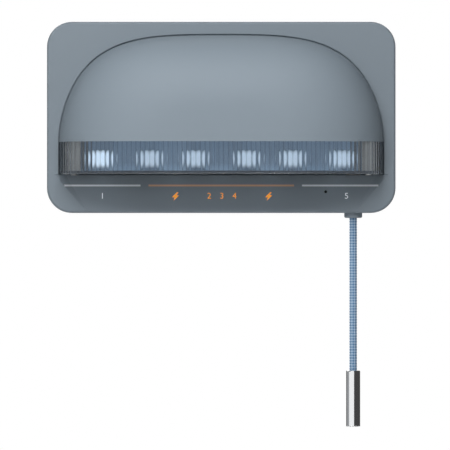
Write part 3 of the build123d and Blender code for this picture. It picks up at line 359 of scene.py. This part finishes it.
def lamp_material():
    """Frosted quartz lit from behind: its glow fades from the middle to the rim of each lens.

    The UV map gives each point its place on the lens, 0 in the middle and 1 at the rim. The lens at
    the far left stands nearest its lamp and glows more.
    """
    material, tree, shader, place = begin("quartz_frosted_lit")
    spread = add(tree, "VectorMath", {0: add(tree, "UVMap").outputs["UV"]}, operation="LENGTH")
    fade = add(tree, "MapRange", {"Value": spread.outputs["Value"], "From Min": 0.5, "From Max": 1.08,
                                  "To Min": 1.0, "To Max": 0.0}, interpolation_type="SMOOTHSTEP")
    side = add(tree, "SeparateXYZ", {"Vector": place})
    level = add(tree, "MapRange", {"Value": side.outputs["X"], "From Min": LEFT_LENS_ENDS * MM,
                                   "From Max": NEXT_LENS_STARTS * MM, "To Min": 1.42,
                                   "To Max": 0.95})
    glow = add(tree, "Math", {0: fade.outputs["Result"], 1: level.outputs["Result"]},
               operation="MULTIPLY")
    tint = add(tree, "Mix", {0: glow.outputs[0], 6: linear("#34424f"), 7: linear("#c6d5e2")},
               data_type="RGBA", clamp_factor=False)
    tree.links.new(tint.outputs[2], shader.inputs["Emission Color"])
    shader.inputs["Emission Strength"].default_value = 1.0
    shader.inputs["Base Color"].default_value = linear("#8b9db2")
    shader.inputs["Roughness"].default_value = 0.55
    return material


def braid_material():
    """Braided polyester: strands of two blues in opposite helices, over and under one another.

    The UV map holds the turns round the cord and the turns of one helix along it.
    """
    material, tree, shader, place = begin("polyester_braided")
    parts = add(tree, "SeparateXYZ", {"Vector": add(tree, "UVMap").outputs["UV"]})
    waves = []
    for sign in (1.0, -1.0):
        lean = add(tree, "Math", {0: parts.outputs["Y"], 1: sign, 2: parts.outputs["X"]},
                   operation="MULTIPLY_ADD")
        phase = add(tree, "Math", {0: lean.outputs[0], 1: STRANDS * math.pi}, operation="MULTIPLY")
        waves.append(add(tree, "Math", {0: phase.outputs[0]}, operation="SINE").outputs[0])
    weave = add(tree, "Math", {0: waves[0], 1: waves[1]}, operation="MULTIPLY")
    fibre = add(tree, "TexNoise", {"Vector": place, "Scale": 1 / (0.35 * MM), "Detail": 2.0})
    level = add(tree, "Math", {0: weave.outputs[0], 1: 0.7, 2: fibre.outputs["Fac"]},
                operation="MULTIPLY_ADD")
    shade = add(tree, "MapRange", {"Value": level.outputs[0], "From Min": 0.0, "From Max": 1.0})
    mix = add(tree, "Mix", {0: shade.outputs["Result"], 6: linear("#4a77a6"), 7: linear("#b4cde2")},
              data_type="RGBA")
    tree.links.new(mix.outputs[2], shader.inputs["Base Color"])
    shader.inputs["Roughness"].default_value = 0.8
    shader.inputs["Sheen Weight"].default_value = 0.2
    shader.inputs["Sheen Roughness"].default_value = 0.5
    return material


def ink_material(name, colour, glow=0.0):
    """Pad-printed ink, darker by an eighth where the grain under it shows; glow is painted light, an
    emission that keeps the print bright in the hood's shade.
    """
    material, tree, shader, place = begin(name)
    grain = add(tree, "TexNoise", {"Vector": place, "Scale": 1 / (0.5 * MM), "Detail": 3.0})
    base = linear(colour)
    mix = add(tree, "Mix", {0: grain.outputs["Fac"], 6: scaled(base, 0.88), 7: base},
              data_type="RGBA")
    tree.links.new(mix.outputs[2], shader.inputs["Base Color"])
    tree.links.new(mix.outputs[2], shader.inputs["Emission Color"])
    shader.inputs["Emission Strength"].default_value = glow
    shader.inputs["Roughness"].default_value = 0.5
    return material


board = board_material()
clear_window = window_material()
liner = liner_material()
lamp_lit = lamp_material()
braid = braid_material()
pale_ink = ink_material("pad_print_pale_grey", "#e2e7ee")
brown_ink = ink_material("pad_print_dull_orange", "#d2a487")
# Painted glow: the numbers and bolts emit light, so that their print stays bright in the hood's shade
print_white_painted_glow = ink_material("pad_print_white_painted_glow", "#e6eaee", 0.4)
print_orange_painted_glow = ink_material("pad_print_orange_painted_glow", "#f39a35", 0.6)

finishes = {
    casing: ("cord_bushing",),
    housing: ("front_housing",),
    back_casing: ("rear_cover",),
    plate_plastic: ("wall_plate",),
    foam: ("adhesive_pad",),
    liner: ("chamber_liner",),
    tray_plastic: ("brush_tray",),
    board: ("led_board", "main_board", "charge_board", "switch_board"),
    chip: ("uv_leds", "indicator_led"),
    epoxy: ("board_components", "detector_switch"),
    inner_plastic: ("battery_cradle",),
    steel_socket: ("charge_socket",),
    smoked: ("indicator_lens",),
    acetal: ("switch_guide", "pull_slider", "switch_lever"),
    steel_spring: ("return_spring",),
    steel_screw: ("board_screws", "chamber_screws"),
    brass_ferrule: ("cord_ferrule",),
    braid: ("cord_inner_end",),
}
for finish, names in finishes.items():
    for name in names:
        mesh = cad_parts[name].data
        mesh.materials.clear()
        mesh.materials.append(finish)


# Mesh helpers

def new_piece(name, shells, material, body, node=None, angle=35):
    """A piece from closed shells, each (points, faces, uv or None), welded and turned outwards.

    Points are (x, depth, z) in millimetres and become (x, -depth, z) in metres. Edges sharper than
    the angle stay crisp. node is the CAD node that the piece replaces.
    """
    points, faces, turns, start = [], [], [], 0
    for flat, quads, uv in shells:
        flat = np.asarray(flat, float).reshape(-1, 3)
        points.append(flat)
        faces += [[start + corner for corner in face] for face in quads]
        turns.append(np.zeros((len(flat), 2)) if uv is None else np.asarray(uv, float).reshape(-1, 2))
        start += len(flat)
    points = np.concatenate(points) * (MM, -MM, MM)
    mesh = bpy.data.meshes.new(name)
    mesh.from_pydata(points, [], faces)
    layer = mesh.uv_layers.new(name="turns")
    corners = np.empty(len(mesh.loops), np.int32)
    mesh.loops.foreach_get("vertex_index", corners)
    layer.data.foreach_set("uv", np.concatenate(turns).astype(np.float32)[corners].ravel())
    bm = bmesh.new()
    bm.from_mesh(mesh)
    bmesh.ops.remove_doubles(bm, verts=bm.verts, dist=WELD * MM)
    bmesh.ops.recalc_face_normals(bm, faces=bm.faces)
    bm.to_mesh(mesh)
    bm.free()
    mesh.polygons.foreach_set("use_smooth", np.ones(len(mesh.polygons), bool))
    mesh.set_sharp_from_angle(angle=math.radians(angle))
    mesh.materials.append(material)
    piece = bpy.data.objects.new(name, mesh)
    bpy.context.scene.collection.objects.link(piece)
    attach(piece, body)
    if node:
        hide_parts(node)
    return piece


def grid(rows, columns, wrap_rows=False):
    """Quads of a grid of rows by columns, the last row joined to the first where asked."""
    r = np.arange(rows if wrap_rows else rows - 1)
    i, j = np.meshgrid(r, np.arange(columns - 1), indexing="ij")
    low, high = i * columns + j, ((i + 1) % rows) * columns + j
    return np.stack([low, high, high + 1, low + 1], -1).reshape(-1, 4).tolist()


def column(rows, columns, index):
    """One face through every row of a grid at one column, which closes that end."""
    return [row * columns + index for row in range(rows)]


def turned(profile, centre, sides=96):
    """Shell of revolution about Z: (radius, level) pairs, from pole to pole, round (x, depth)."""
    profile = np.asarray(profile, float)
    around = np.linspace(0, 2 * math.pi, sides + 1)
    radius, level = profile[:, :1], np.repeat(profile[:, 1:], sides + 1, 1)
    x = centre[0] + radius * np.cos(around)
    depth = centre[1] + radius * np.sin(around)
    return np.stack([x, depth, level], -1), grid(len(profile), sides + 1), None


def rounded(radius, low, high, edge, steps=6):
    """Profile of a solid bar from its lower pole to its upper one, its rims rounded by edge."""
    turn = np.linspace(0, math.pi / 2, steps)
    below = [(radius - edge + edge * math.sin(t), low + edge - edge * math.cos(t)) for t in turn]
    above = [(radius - edge + edge * math.cos(t), high - edge + edge * math.sin(t)) for t in turn]
    flat = [(radius, low + 1.5 * edge), (radius, high - 1.5 * edge)]
    return [(0.0, low)] + below + flat + above + [(0.0, high)]


def traced(curve):
    """Points, in millimetres, and faces of the mesh that a curve or a text gives."""
    carrier = bpy.data.objects.new(curve.name, curve)
    bpy.context.scene.collection.objects.link(carrier)
    bpy.context.view_layer.update()
    shown = carrier.evaluated_get(bpy.context.evaluated_depsgraph_get())
    mesh = bpy.data.meshes.new_from_object(shown)
    bpy.data.objects.remove(carrier)
    flat = np.empty(len(mesh.vertices) * 3)
    mesh.vertices.foreach_get("co", flat)
    return flat.reshape(-1, 3) / MM, [list(polygon.vertices) for polygon in mesh.polygons]


def solids_of(name):
    """Lowest and highest corners, in millimetres, of a node's separate solids."""
    bm = bmesh.new()
    bm.from_mesh(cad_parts[name].data)
    bmesh.ops.remove_doubles(bm, verts=bm.verts, dist=2 * WELD * MM)
    left, corners = set(bm.verts), []
    while left:
        reached = [left.pop()]
        for vertex in reached:
            for edge in vertex.link_edges:
                other = edge.other_vert(vertex)
                if other in left:
                    left.remove(other)
                    reached.append(other)
        flat = np.array([vertex.co for vertex in reached]) / MM
        corners.append((flat.min(0), flat.max(0)))
    bm.free()
    return sorted(corners, key=lambda pair: tuple(pair[0]))


# Hood

def arch(share):
    """Unit arch: a quartic Bezier curve from the right foot to the top, then its mirror image.

    share runs from 0 at the right foot to 1 at the left one.
    """
    t = 1 - np.abs(2 * share - 1)
    weights = np.stack([math.comb(4, k) * (1 - t) ** (4 - k) * t ** k for k in range(5)])
    a, b = np.array(ARCH_SHAPE).T @ weights
    return np.where(share > 0.5, -a, a), b


def hood_row(share, half, rise, depth):
    """One arch across the hood: the unit arch stretched to a half width and a rise, at a depth."""
    a, b = arch(share)
    return np.stack([a * half, np.full_like(a, depth), WINDOW_TOP + b * rise], -1)


def hood_rows(share, half, rise, depth, turns):
    """Arches that widen from the flat crown along quarter ellipses, by a turn t from 0 to 90 degrees.

    Their half width is crown + (half - crown) sin t, their rise likewise, and they stand
    depth cos t in front of the casing's face.
    """
    return [hood_row(share, CROWN_HALF + (half - CROWN_HALF) * math.sin(t),
                     CROWN_RISE + (rise - CROWN_RISE) * math.sin(t),
                     FRONT + depth * math.cos(t)) for t in turns]


def ear_shell(middle, front, back):
    """A round screw ear on the flange: a disc about (x, z) between two depths, closed at its poles."""
    around = np.linspace(0, 2 * math.pi, EAR_SIDES + 1)
    rings = [(0, front), (EAR_RADIUS, front), (EAR_RADIUS, back), (0, back)]
    rows = [np.stack([middle[0] + radius * np.cos(around), np.full_like(around, depth),
                      middle[2] + radius * np.sin(around)], -1) for radius, depth in rings]
    return np.stack(rows), grid(len(rings), EAR_SIDES + 1), None


def make_hood():
    """Hood: outer skin, flange behind the casing's face and inner skin, as one closed shell.

    The outer skin is drawn in by the seam that shows between the hood and the casing.
    """
    share = np.linspace(0, 1, ARCH_STEPS + 1)
    turns = np.linspace(0, math.pi / 2, HOOD_BANDS + 1)
    outer = (HOOD_HALF - HOOD_SEAM, HOOD_RISE - HOOD_SEAM)
    inner = (HOOD_HALF - HOOD_WALL, HOOD_RISE - HOOD_WALL)
    wide = (HOOD_HALF + FLANGE_WIDTH, HOOD_RISE + FLANGE_WIDTH)
    flat = (CROWN_HALF * CROWN_FLAT, CROWN_RISE * CROWN_FLAT)
    flange_front = FLANGE_BACK + FLANGE_THICKNESS
    rows = [hood_row(share, *flat, FRONT + HOOD_DEPTH)]
    rows += hood_rows(share, *outer, HOOD_DEPTH, turns)
    rows += [hood_row(share, *outer, flange_front), hood_row(share, *wide, flange_front),
             hood_row(share, *wide, FLANGE_BACK), hood_row(share, *inner, FLANGE_BACK)]
    rows += hood_rows(share, *inner, HOOD_DEPTH - HOOD_WALL + HOOD_SEAM, turns[::-1])
    rows += [hood_row(share, *flat, FRONT + HOOD_DEPTH - HOOD_WALL)]
    columns, last = len(share), (len(rows) - 1) * len(share)
    crown_outside, crown_inside = list(range(columns)), list(range(last, last + columns))
    crown_foot = [0, columns - 1, last + columns - 1, last]
    # Closed by the flat crown outside and inside, the strip between them along the foot, and both feet
    faces = grid(len(rows), columns) + [crown_outside, crown_inside, crown_foot]
    faces += [column(len(rows), columns, end) for end in (0, columns - 1)]
    shells = [(np.stack(rows), faces, None)]
    shells += [ear_shell((low + high) / 2, flange_front, FLANGE_BACK)
               for low, high in solids_of("hood_screws")]
    new_piece("hood_shell", shells, casing, "unit", "dome_cover")


make_hood()


# Reeded window

def plan_point(share, grow):
    """Points of the hood's plan curve: quarter ellipse, straight crown, quarter ellipse, by length.

    share runs from 0 at the left end to 1 at the right end; grow moves the curve outwards. The
    curve's whole length comes with them.
    """
    a, b = HOOD_HALF + grow - CROWN_HALF, HOOD_DEPTH + grow
    turn = np.linspace(0, math.pi / 2, PLAN_STEPS)
    left = np.stack([-CROWN_HALF - a * np.cos(turn), FRONT + b * np.sin(turn)], -1)
    right = np.stack([CROWN_HALF + a * np.sin(turn), FRONT + b * np.cos(turn)], -1)
    line = np.concatenate([left, right])
    run = np.concatenate([[0], np.cumsum(np.linalg.norm(np.diff(line, axis=0), axis=1))])
    return np.stack([np.interp(share * run[-1], run, line[:, k]) for k in range(2)], -1), run[-1]


def make_window():
    """Reeded band: a wall profile carried along the plan curve, its outside in round reeds.

    A reed is an arc of height h on a chord of one pitch: its height at a share u of the pitch is
    h (1 - (2u - 1)^2). The profile is a closed loop of (inset, level) pairs; an inset of None is
    the reeded face.
    """
    valley = -REED_SETBACK - REED_HEIGHT
    reeds = round(plan_point(0.0, valley)[1] / REED_PITCH)
    steps = np.arange(reeds * REED_STEPS + 1)
    share = steps / steps[-1]
    height = REED_HEIGHT * (1 - (2 * (steps % REED_STEPS) / REED_STEPS - 1) ** 2)
    top, rim = WINDOW_TOP + WINDOW_OVERLAP, WINDOW_BOTTOM + WINDOW_RIM
    profile = [(WINDOW_WALL, WINDOW_BOTTOM + WINDOW_EDGE), (WINDOW_WALL, WINDOW_BOTTOM),
               (REED_SETBACK + RIM_CHAMFER, WINDOW_BOTTOM), (REED_SETBACK, WINDOW_BOTTOM + WINDOW_EDGE),
               (None, rim), (None, rim + WINDOW_EDGE), (None, top - WINDOW_EDGE), (None, top),
               (TONGUE_OUTSIDE, top), (TONGUE_OUTSIDE, TONGUE_TOP), (TONGUE_INSIDE, TONGUE_TOP),
               (TONGUE_INSIDE, top), (WINDOW_WALL, top), (WINDOW_WALL, top - WINDOW_EDGE)]
    reeded = plan_point(share, valley)[0]
    along = np.gradient(reeded, axis=0)
    along /= np.linalg.norm(along, axis=1)[:, None]
    reeded = reeded + np.stack([-along[:, 1], along[:, 0]], -1) * height[:, None]
    # The UV's share from valley to crest, which the window's painted valley shade reads
    crest = np.concatenate([[1.0], height / REED_HEIGHT, [1.0]])
    rows, turns = [], []
    for inset, level in profile:
        turns.append(np.stack([crest if inset is None else np.ones_like(crest)] * 2, -1))
        line = reeded if inset is None else plan_point(share, -inset)[0]
        line = np.concatenate([[[line[0, 0], FLANGE_BACK]], line, [[line[-1, 0], FLANGE_BACK]]])
        rows.append(np.concatenate([line, np.full((len(line), 1), level)], 1))
    count, columns = len(rows), len(crest)
    faces = grid(count, columns, wrap_rows=True)
    faces += [column(count, columns, end) for end in (0, columns - 1)]
    new_piece("reeded_band", [(np.stack(rows), faces, np.stack(turns))], clear_window, "unit",
              "reeded_window", angle=50)


make_window()


# Lamp lenses

def make_lenses():
    """Lit lenses: each a low dome on a rounded outline, |u|^p + |v|^p = 1 stretched to its box.

    The dome's height at a share s from the middle to the rim is rise (1 - s^2).
    """
    shells = []
    around = np.linspace(0, 2 * math.pi, LENS_SIDES + 1)
    circle = np.stack([np.cos(around), np.sin(around)], -1)
    outline = circle * (np.abs(circle) ** LENS_POWER).sum(1, keepdims=True) ** (-1 / LENS_POWER)
    for low, high in solids_of("lamp_windows"):
        middle, half = (low + high) / 2, (high - low) / 2
        front, back = -low[1], -high[1]
        rings = [(share, front - LENS_RISE * share ** 2) for share in np.linspace(0, 1, LENS_RINGS)]
        rings += [(1.0, back), (0.0, back)]
        points = [np.stack([middle[0] + share * half[0] * outline[:, 0], np.full_like(around, depth),
                            middle[2] + share * half[2] * outline[:, 1]], -1) for share, depth in rings]
        places = [share * circle - (0, LENS_GLOW_LIFT) for share, _ in rings]
        shells.append((np.stack(points), grid(len(rings), LENS_SIDES + 1), np.stack(places)))
    new_piece("lamp_lenses", shells, lamp_lit, "unit", "lamp_windows")


make_lenses()


# Printed marks on the lower panel

def panel_depth(x, level):
    """Depth of the lower panel's face: a sloping floor between two flared sides.

    The floor's recess grows from 0 at the foot to its full depth under the window, and each side
    rises from the floor by one part in three up to the flat face.
    """
    share = np.clip((level - SCOOP_FOOT) / (WINDOW_BOTTOM - SCOOP_FOOT), 0, 1)
    lip = SCOOP_FOOT_HALF + SCOOP_SPREAD * share
    return FRONT - np.clip((lip - np.abs(x)) / SCOOP_SIDE_RUN, 0, SCOOP_DEPTH * share)


def line_shell(left, right):
    """A thin printed bar along X that follows the panel: four corners carried along its length."""
    x = np.linspace(left, right, LINE_STEPS + 1)
    low, high = LINE_LEVEL - LINE_WIDTH / 2, LINE_LEVEL + LINE_WIDTH / 2
    rows = [np.stack([x, panel_depth(x, level) + lift, np.full_like(x, level)], -1)
            for level, lift in ((low, INK_PROUD), (high, INK_PROUD), (high, -INK_SUNK), (low, -INK_SUNK))]
    ends = [column(len(rows), len(x), end) for end in (0, LINE_STEPS)]
    return np.stack(rows), grid(len(rows), len(x), wrap_rows=True) + ends, None


def sheet_shell(outline):
    """A thin printed shape: its outline of (x, level) pairs in front of and behind the panel's face."""
    outline = np.asarray(outline, float)
    count = len(outline)
    rows = [np.stack([outline[:, 0], panel_depth(*outline.T) + lift, outline[:, 1]], -1)
            for lift in (INK_PROUD, -INK_SUNK)]
    sides = [[k, (k + 1) % count, count + (k + 1) % count, count + k] for k in range(count)]
    return np.stack(rows), [list(range(count)), list(range(count, 2 * count))] + sides, None


def number_shell(text, x):
    """A place number: Blender's own plain figures as a thin solid laid on the panel."""
    figure = bpy.data.curves.new("place_number", "FONT")
    figure.body = text
    figure.size = NUMBER_SIZE * MM
    figure.align_x = figure.align_y = "CENTER"
    figure.extrude = (INK_PROUD + INK_SUNK) / 2 * MM
    flat, faces = traced(figure)
    flat = flat + (x, NUMBER_LEVEL, (INK_PROUD - INK_SUNK) / 2)
    depth = panel_depth(flat[:, 0], flat[:, 1]) + flat[:, 2]
    return np.stack([flat[:, 0], depth, flat[:, 1]], -1), faces, None


def make_marks():
    """Lines over the places, bolts beside the middle ones, and a plain number for each place."""
    for name, left, right, ink in (("line_left", -97.8, -50.3, pale_ink),
                                   ("line_middle", -45.3, 45.3, brown_ink),
                                   ("line_right", 50.3, 97.8, pale_ink)):
        new_piece(name, [line_shell(left, right)], ink, "unit")
    for name, x in (("bolt_left", -28.5), ("bolt_right", 29.5)):
        new_piece(name, [sheet_shell(np.add(BOLT_OUTLINE, (x, BOLT_LEVEL)))], print_orange_painted_glow, "unit")
    for text, x, ink in (("1", -74.0, print_white_painted_glow), ("2", -7.5, print_orange_painted_glow), ("3", 0.4, print_orange_painted_glow),
                         ("4", 8.3, print_orange_painted_glow), ("5", 78.0, print_white_painted_glow)):
        new_piece("number_" + text, [number_shell(text, x)], ink, "unit")


make_marks()


# Pull cord and its weight

def make_cord():
    """Cord: a tube round the route's own NURBS spline, its surface raised by the braid.

    The radius at angle a and helix turn t is r - s + d |sin(n(a + t)) sin(n(a - t))|, so crossing
    strands stand proud in diamonds. Its upper end is drawn in, and its lower one is in the weight.
    """
    low = WEIGHT_TOP - WEIGHT_BORE
    levels = (CORD_TOP, CORD_TOP - 14.0, CORD_TOP - 40.0, low + 38.0, low + 14.0, low)
    route = bpy.data.curves.new("cord_route", "CURVE")
    route.dimensions = "3D"
    spline = route.splines.new("NURBS")
    spline.points.add(len(levels) - 1)
    for point, level in zip(spline.points, levels):
        point.co = (CORD_X * MM, -CORD_DEPTH * MM, level * MM, 1.0)
    spline.order_u = 3
    spline.use_endpoint_u = True
    spline.resolution_u = 12
    path = traced(route)[0]
    run = np.concatenate([[0], np.cumsum(np.linalg.norm(np.diff(path, axis=0), axis=1))])
    along = np.linspace(0, run[-1], CORD_STEPS)
    centre = np.stack([np.interp(along, run, path[:, k]) for k in range(3)], -1)
    around = np.linspace(0, 2 * math.pi, CORD_SIDES + 1)
    lean = 2 * math.pi / BRAID_PITCH * along[:, None]
    weave = np.abs(np.sin(STRANDS * (around + lean) / 2) * np.sin(STRANDS * (around - lean) / 2))
    radius = CORD_WIDTH / 2 - BRAID_SUNK + BRAID_RELIEF * weave
    drawn_in = 0.5 + 0.5 * np.clip(along / CORD_POINT, 0, 1)
    radius = radius * drawn_in[:, None]
    x = centre[:, :1] + radius * np.cos(around)
    depth = -centre[:, 1:2] + radius * np.sin(around)
    points = np.stack([x, depth, np.repeat(centre[:, 2:3], CORD_SIDES + 1, 1)], -1)
    last = (CORD_STEPS - 1) * (CORD_SIDES + 1)
    ends = [list(range(CORD_SIDES)), list(range(last, last + CORD_SIDES))]
    faces = grid(CORD_STEPS, CORD_SIDES + 1) + ends
    uv = np.stack(np.broadcast_arrays(around / (2 * math.pi), along[:, None] / BRAID_PITCH), -1)
    piece = new_piece("hanging_cord_braid", [(points, faces, uv)], braid, "hanging_cord", "pull_cord",
                      angle=60)
    return piece, (centre[::8] * MM).tolist(), run[-1]


def make_weight():
    """Weight: a polished bar with rounded rims, bored for the cord at its upper end."""
    low, high = (np.array(corner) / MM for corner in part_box("pull_weight"))
    radius, top, bore = (high[0] - low[0]) / 2, high[2], CORD_WIDTH / 2 + BORE_PLAY
    bar = rounded(radius, low[2], top, WEIGHT_EDGE)[:-1]
    bar += [(bore + BORE_EDGE, top), (bore, top - BORE_EDGE), (bore, top - WEIGHT_BORE),
            (0.0, top - WEIGHT_BORE)]
    return new_piece("weight_bar", [turned(bar, (CORD_X, CORD_DEPTH), WEIGHT_SIDES)], steel_weight,
                     "hanging_cord", "pull_weight")


cord, cord_path, cord_length = make_cord()
weight = make_weight()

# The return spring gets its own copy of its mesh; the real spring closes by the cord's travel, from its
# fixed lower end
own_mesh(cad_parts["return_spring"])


# Screws and the battery cell

def screw_shell(low, high):
    """A pan-head screw that fills a solid's box, its head towards the wall: cross, thread and point.

    Rows run from the head's pole to the point. The cross sinks the head where one of its two
    directions is within the slot and the other within the slot's reach. The thread's radius at
    height t and turn a is r - d |2 frac(t / pitch - a) - 1|.
    """
    middle, head, length = (low + high) / 2, (high - low)[[0, 2]].max() / 2, (high - low)[1]
    around = np.linspace(0, 2 * math.pi, SCREW_SIDES + 1)
    whole = np.ones((1, SCREW_SIDES + 1))
    share = np.linspace(0, 1, HEAD_RINGS)[:, None]
    u, v = np.abs(share * np.cos(around)), np.abs(share * np.sin(around))
    slot = np.clip((CROSS_HALF - np.minimum(u, v)) / CROSS_SLOPE, 0, 1)
    slot = slot * np.clip((CROSS_REACH - np.maximum(u, v)) / CROSS_END, 0, 1)
    t = np.linspace(SCREW_HEAD, length, int((length - SCREW_HEAD) / THREAD_STEP))[:, None]
    wave = np.abs(2 * ((t / THREAD_PITCH - around / (2 * math.pi)) % 1) - 1)
    taper = np.clip((length - t) / (SCREW_POINT * SCREW_SHANK), 0, 1)
    radius = np.concatenate([head * share * whole, head * whole, (head - SCREW_NECK) * whole,
                             (SCREW_SHANK - THREAD_DEPTH * wave) * taper])
    height = np.concatenate([SCREW_DOME * share ** 3 + CROSS_SUNK * SCREW_HEAD * slot,
                             (SCREW_HEAD - SCREW_RIM) * whole, SCREW_HEAD * whole, t * whole])
    points = np.stack([middle[0] + radius * np.cos(around), height - high[1],
                       middle[2] + radius * np.sin(around)], -1)
    return points, grid(*radius.shape), None


def make_screws(node):
    """All the screws of a node, each on the middle line of its solid's box."""
    shells = [screw_shell(low, high) for low, high in solids_of(node)]
    new_piece(node + "_turned", shells, steel_screw, "unit", node)


def make_cell():
    """Battery cell: a sleeved bar with rounded shoulders and a raised button, lying along X."""
    low, high = (np.array(corner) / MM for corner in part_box("battery_cell"))
    middle, radius, length = (low + high) / 2, (high[1] - low[1]) / 2, high[0] - low[0]
    profile = rounded(radius, 0.0, length - CELL_BUTTON, CELL_SHOULDER)[:-1]
    profile += [(CELL_BUTTON_RADIUS, length - CELL_BUTTON), (CELL_BUTTON_RADIUS, length), (0.0, length)]
    points, faces, _ = turned(profile, (0.0, 0.0))
    placed = np.stack([low[0] + points[..., 2], points[..., 0] - middle[1],
                       middle[2] + points[..., 1]], -1)
    new_piece("sleeved_cell", [(placed, faces, None)], sleeve, "unit", "battery_cell")


make_screws("rear_screws")
make_screws("hood_screws")
make_cell()

# Stage, in metres: pale floor, cards that only reflections see, soft lamps and the camera
FLOOR_LEVEL = -0.30
CARD_LOW, CARD_HIGH = -0.9, -0.11
AIM = (0, -0.03, 0)


def stage_plane(name, corners, material):
    """A flat sheet through four corners."""
    mesh = bpy.data.meshes.new(name)
    mesh.from_pydata(corners, [], [[0, 1, 2, 3]])
    mesh.materials.append(material)
    sheet = bpy.data.objects.new(name, mesh)
    bpy.context.scene.collection.objects.link(sheet)
    return sheet


def floor_material():
    """Pale matt floor that the camera sees as white, apart from the shadow on it, clear from below."""
    material, tree, shader, place = begin("floor_pale_matt")
    mottle = add(tree, "TexNoise", {"Vector": place, "Scale": 3.0})
    tone = add(tree, "Mix", {0: mottle.outputs["Fac"], 6: linear("#f2f2f2"), 7: linear("#f8f8f8")},
               data_type="RGBA")
    tree.links.new(tone.outputs[2], shader.inputs["Base Color"])
    shader.inputs["Roughness"].default_value = 0.9
    rays = add(tree, "LightPath")
    shader.inputs["Emission Color"].default_value = linear("#ffffff")
    seen = add(tree, "Math", {0: rays.outputs["Is Camera Ray"], 1: 0.55}, operation="MULTIPLY")
    tree.links.new(seen.outputs[0], shader.inputs["Emission Strength"])
    under = add(tree, "NewGeometry").outputs["Backfacing"]
    cover = add(tree, "MixShader", {0: under, 1: shader.outputs["BSDF"],
                                    2: add(tree, "BsdfTransparent").outputs["BSDF"]})
    tree.links.new(cover.outputs[0], tree.nodes["Material Output"].inputs["Surface"])
    return material


def card(name, tone, start, end):
    """An upright card between two (x, y) places, low down, so that only the weight mirrors it."""
    material, _, shader, _ = begin(name + "_felt")
    shader.inputs["Base Color"].default_value = linear("#000000")
    shader.inputs["Specular IOR Level"].default_value = 0.0
    shader.inputs["Emission Color"].default_value = linear(tone)
    shader.inputs["Emission Strength"].default_value = 1.0
    corners = [(*start, CARD_LOW), (*end, CARD_LOW), (*end, CARD_HIGH), (*start, CARD_HIGH)]
    sheet = stage_plane(name, corners, material)
    for ray in ("camera", "diffuse", "shadow", "transmission"):
        setattr(sheet, "visible_" + ray, False)


floor_plan = ((-1.1, -0.7), (1.1, -0.7), (1.1, 0.9), (-1.1, 0.9))
stage_plane("floor", [(x, y, FLOOR_LEVEL) for x, y in floor_plan], floor_material())
card("card_front_left", "#fcfcfc", (-0.869, -0.318), (0.341, -1.129))
card("card_left", "#a2a3a5", (-0.741, 0.466), (-0.869, -0.318))


def soft_lamp(name, place, aim, size, power):
    """A rectangular soft box at a place, turned to its aim, its power in watts."""
    data = bpy.data.lights.new(name, "AREA")
    data.shape = "RECTANGLE"
    data.size, data.size_y = size
    data.energy = power
    lamp = bpy.data.objects.new(name, data)
    lamp.location = place
    lamp.rotation_euler = (Vector(aim) - Vector(place)).to_track_quat("-Z", "Y").to_euler()
    lamp.visible_camera = False
    bpy.context.scene.collection.objects.link(lamp)
    return lamp


soft_lamp("key", (-0.04, -0.45, 0.315), AIM, (0.44, 0.25), 2.25)
soft_lamp("top", (0, -0.41, 1.55), AIM, (0.9, 0.9), 2.5)
soft_lamp("back", (-0.5, 1.3, 0.9), (0, 0, 0), (0.8, 0.6), 10)
# Fills that leave no reflection in the window or the weight
for side, place, size, power in (("front", (-0.32, -0.83, 0.156), 0.45, 2.0),
                                 ("side_left", (-1.3, 0.75, 0.2), 0.6, 1.2),
                                 ("side_right", (1.3, 0.75, 0.2), 0.6, 1.2)):
    fill = soft_lamp(side, place, AIM, (size, size), power)
    fill.visible_glossy = fill.visible_transmission = False

# World: white to the camera and through the window, and a faint ambient light on everything else
world = bpy.data.worlds.new("studio_white")
bpy.context.scene.world = world
world.use_nodes = True
world.node_tree.nodes.clear()
rays = add(world.node_tree, "LightPath")
direct = add(world.node_tree, "Math", {0: rays.outputs["Is Camera Ray"],
                                       1: rays.outputs["Is Transmission Ray"]}, operation="MAXIMUM")
ambient = add(world.node_tree, "Background", {"Color": linear("#ffffff"), "Strength": 0.06})
white = add(world.node_tree, "Background", {"Color": linear("#ffffff"), "Strength": 1.0})
shown = add(world.node_tree, "MixShader", {0: direct.outputs[0], 1: ambient.outputs[0],
                                           2: white.outputs[0]})
add(world.node_tree, "OutputWorld", {"Surface": shown.outputs[0]})

bpy.context.scene.view_settings.view_transform = "Standard"

# Camera: level, 4 m in front of the casing's face, where a stretch of 280.1 mm fills the frame
CAMERA_DISTANCE = 4000.0
CAMERA_X, CAMERA_LEVEL = 2.33, -67.0
FRAME_WIDTH = 280.1
SENSOR_WIDTH = 36.0
camera_data = bpy.data.cameras.new("camera")
camera_data.sensor_width = SENSOR_WIDTH
camera_data.sensor_fit = "HORIZONTAL"
camera_data.lens = SENSOR_WIDTH * CAMERA_DISTANCE / FRAME_WIDTH
camera = bpy.data.objects.new("camera", camera_data)
camera.location = (CAMERA_X * MM, -(CAMERA_DISTANCE + FRONT) * MM, CAMERA_LEVEL * MM)
camera.rotation_euler = (math.pi / 2, 0, 0)
bpy.context.scene.collection.objects.link(camera)
bpy.context.scene.camera = camera

bpy.context.view_layer.update()
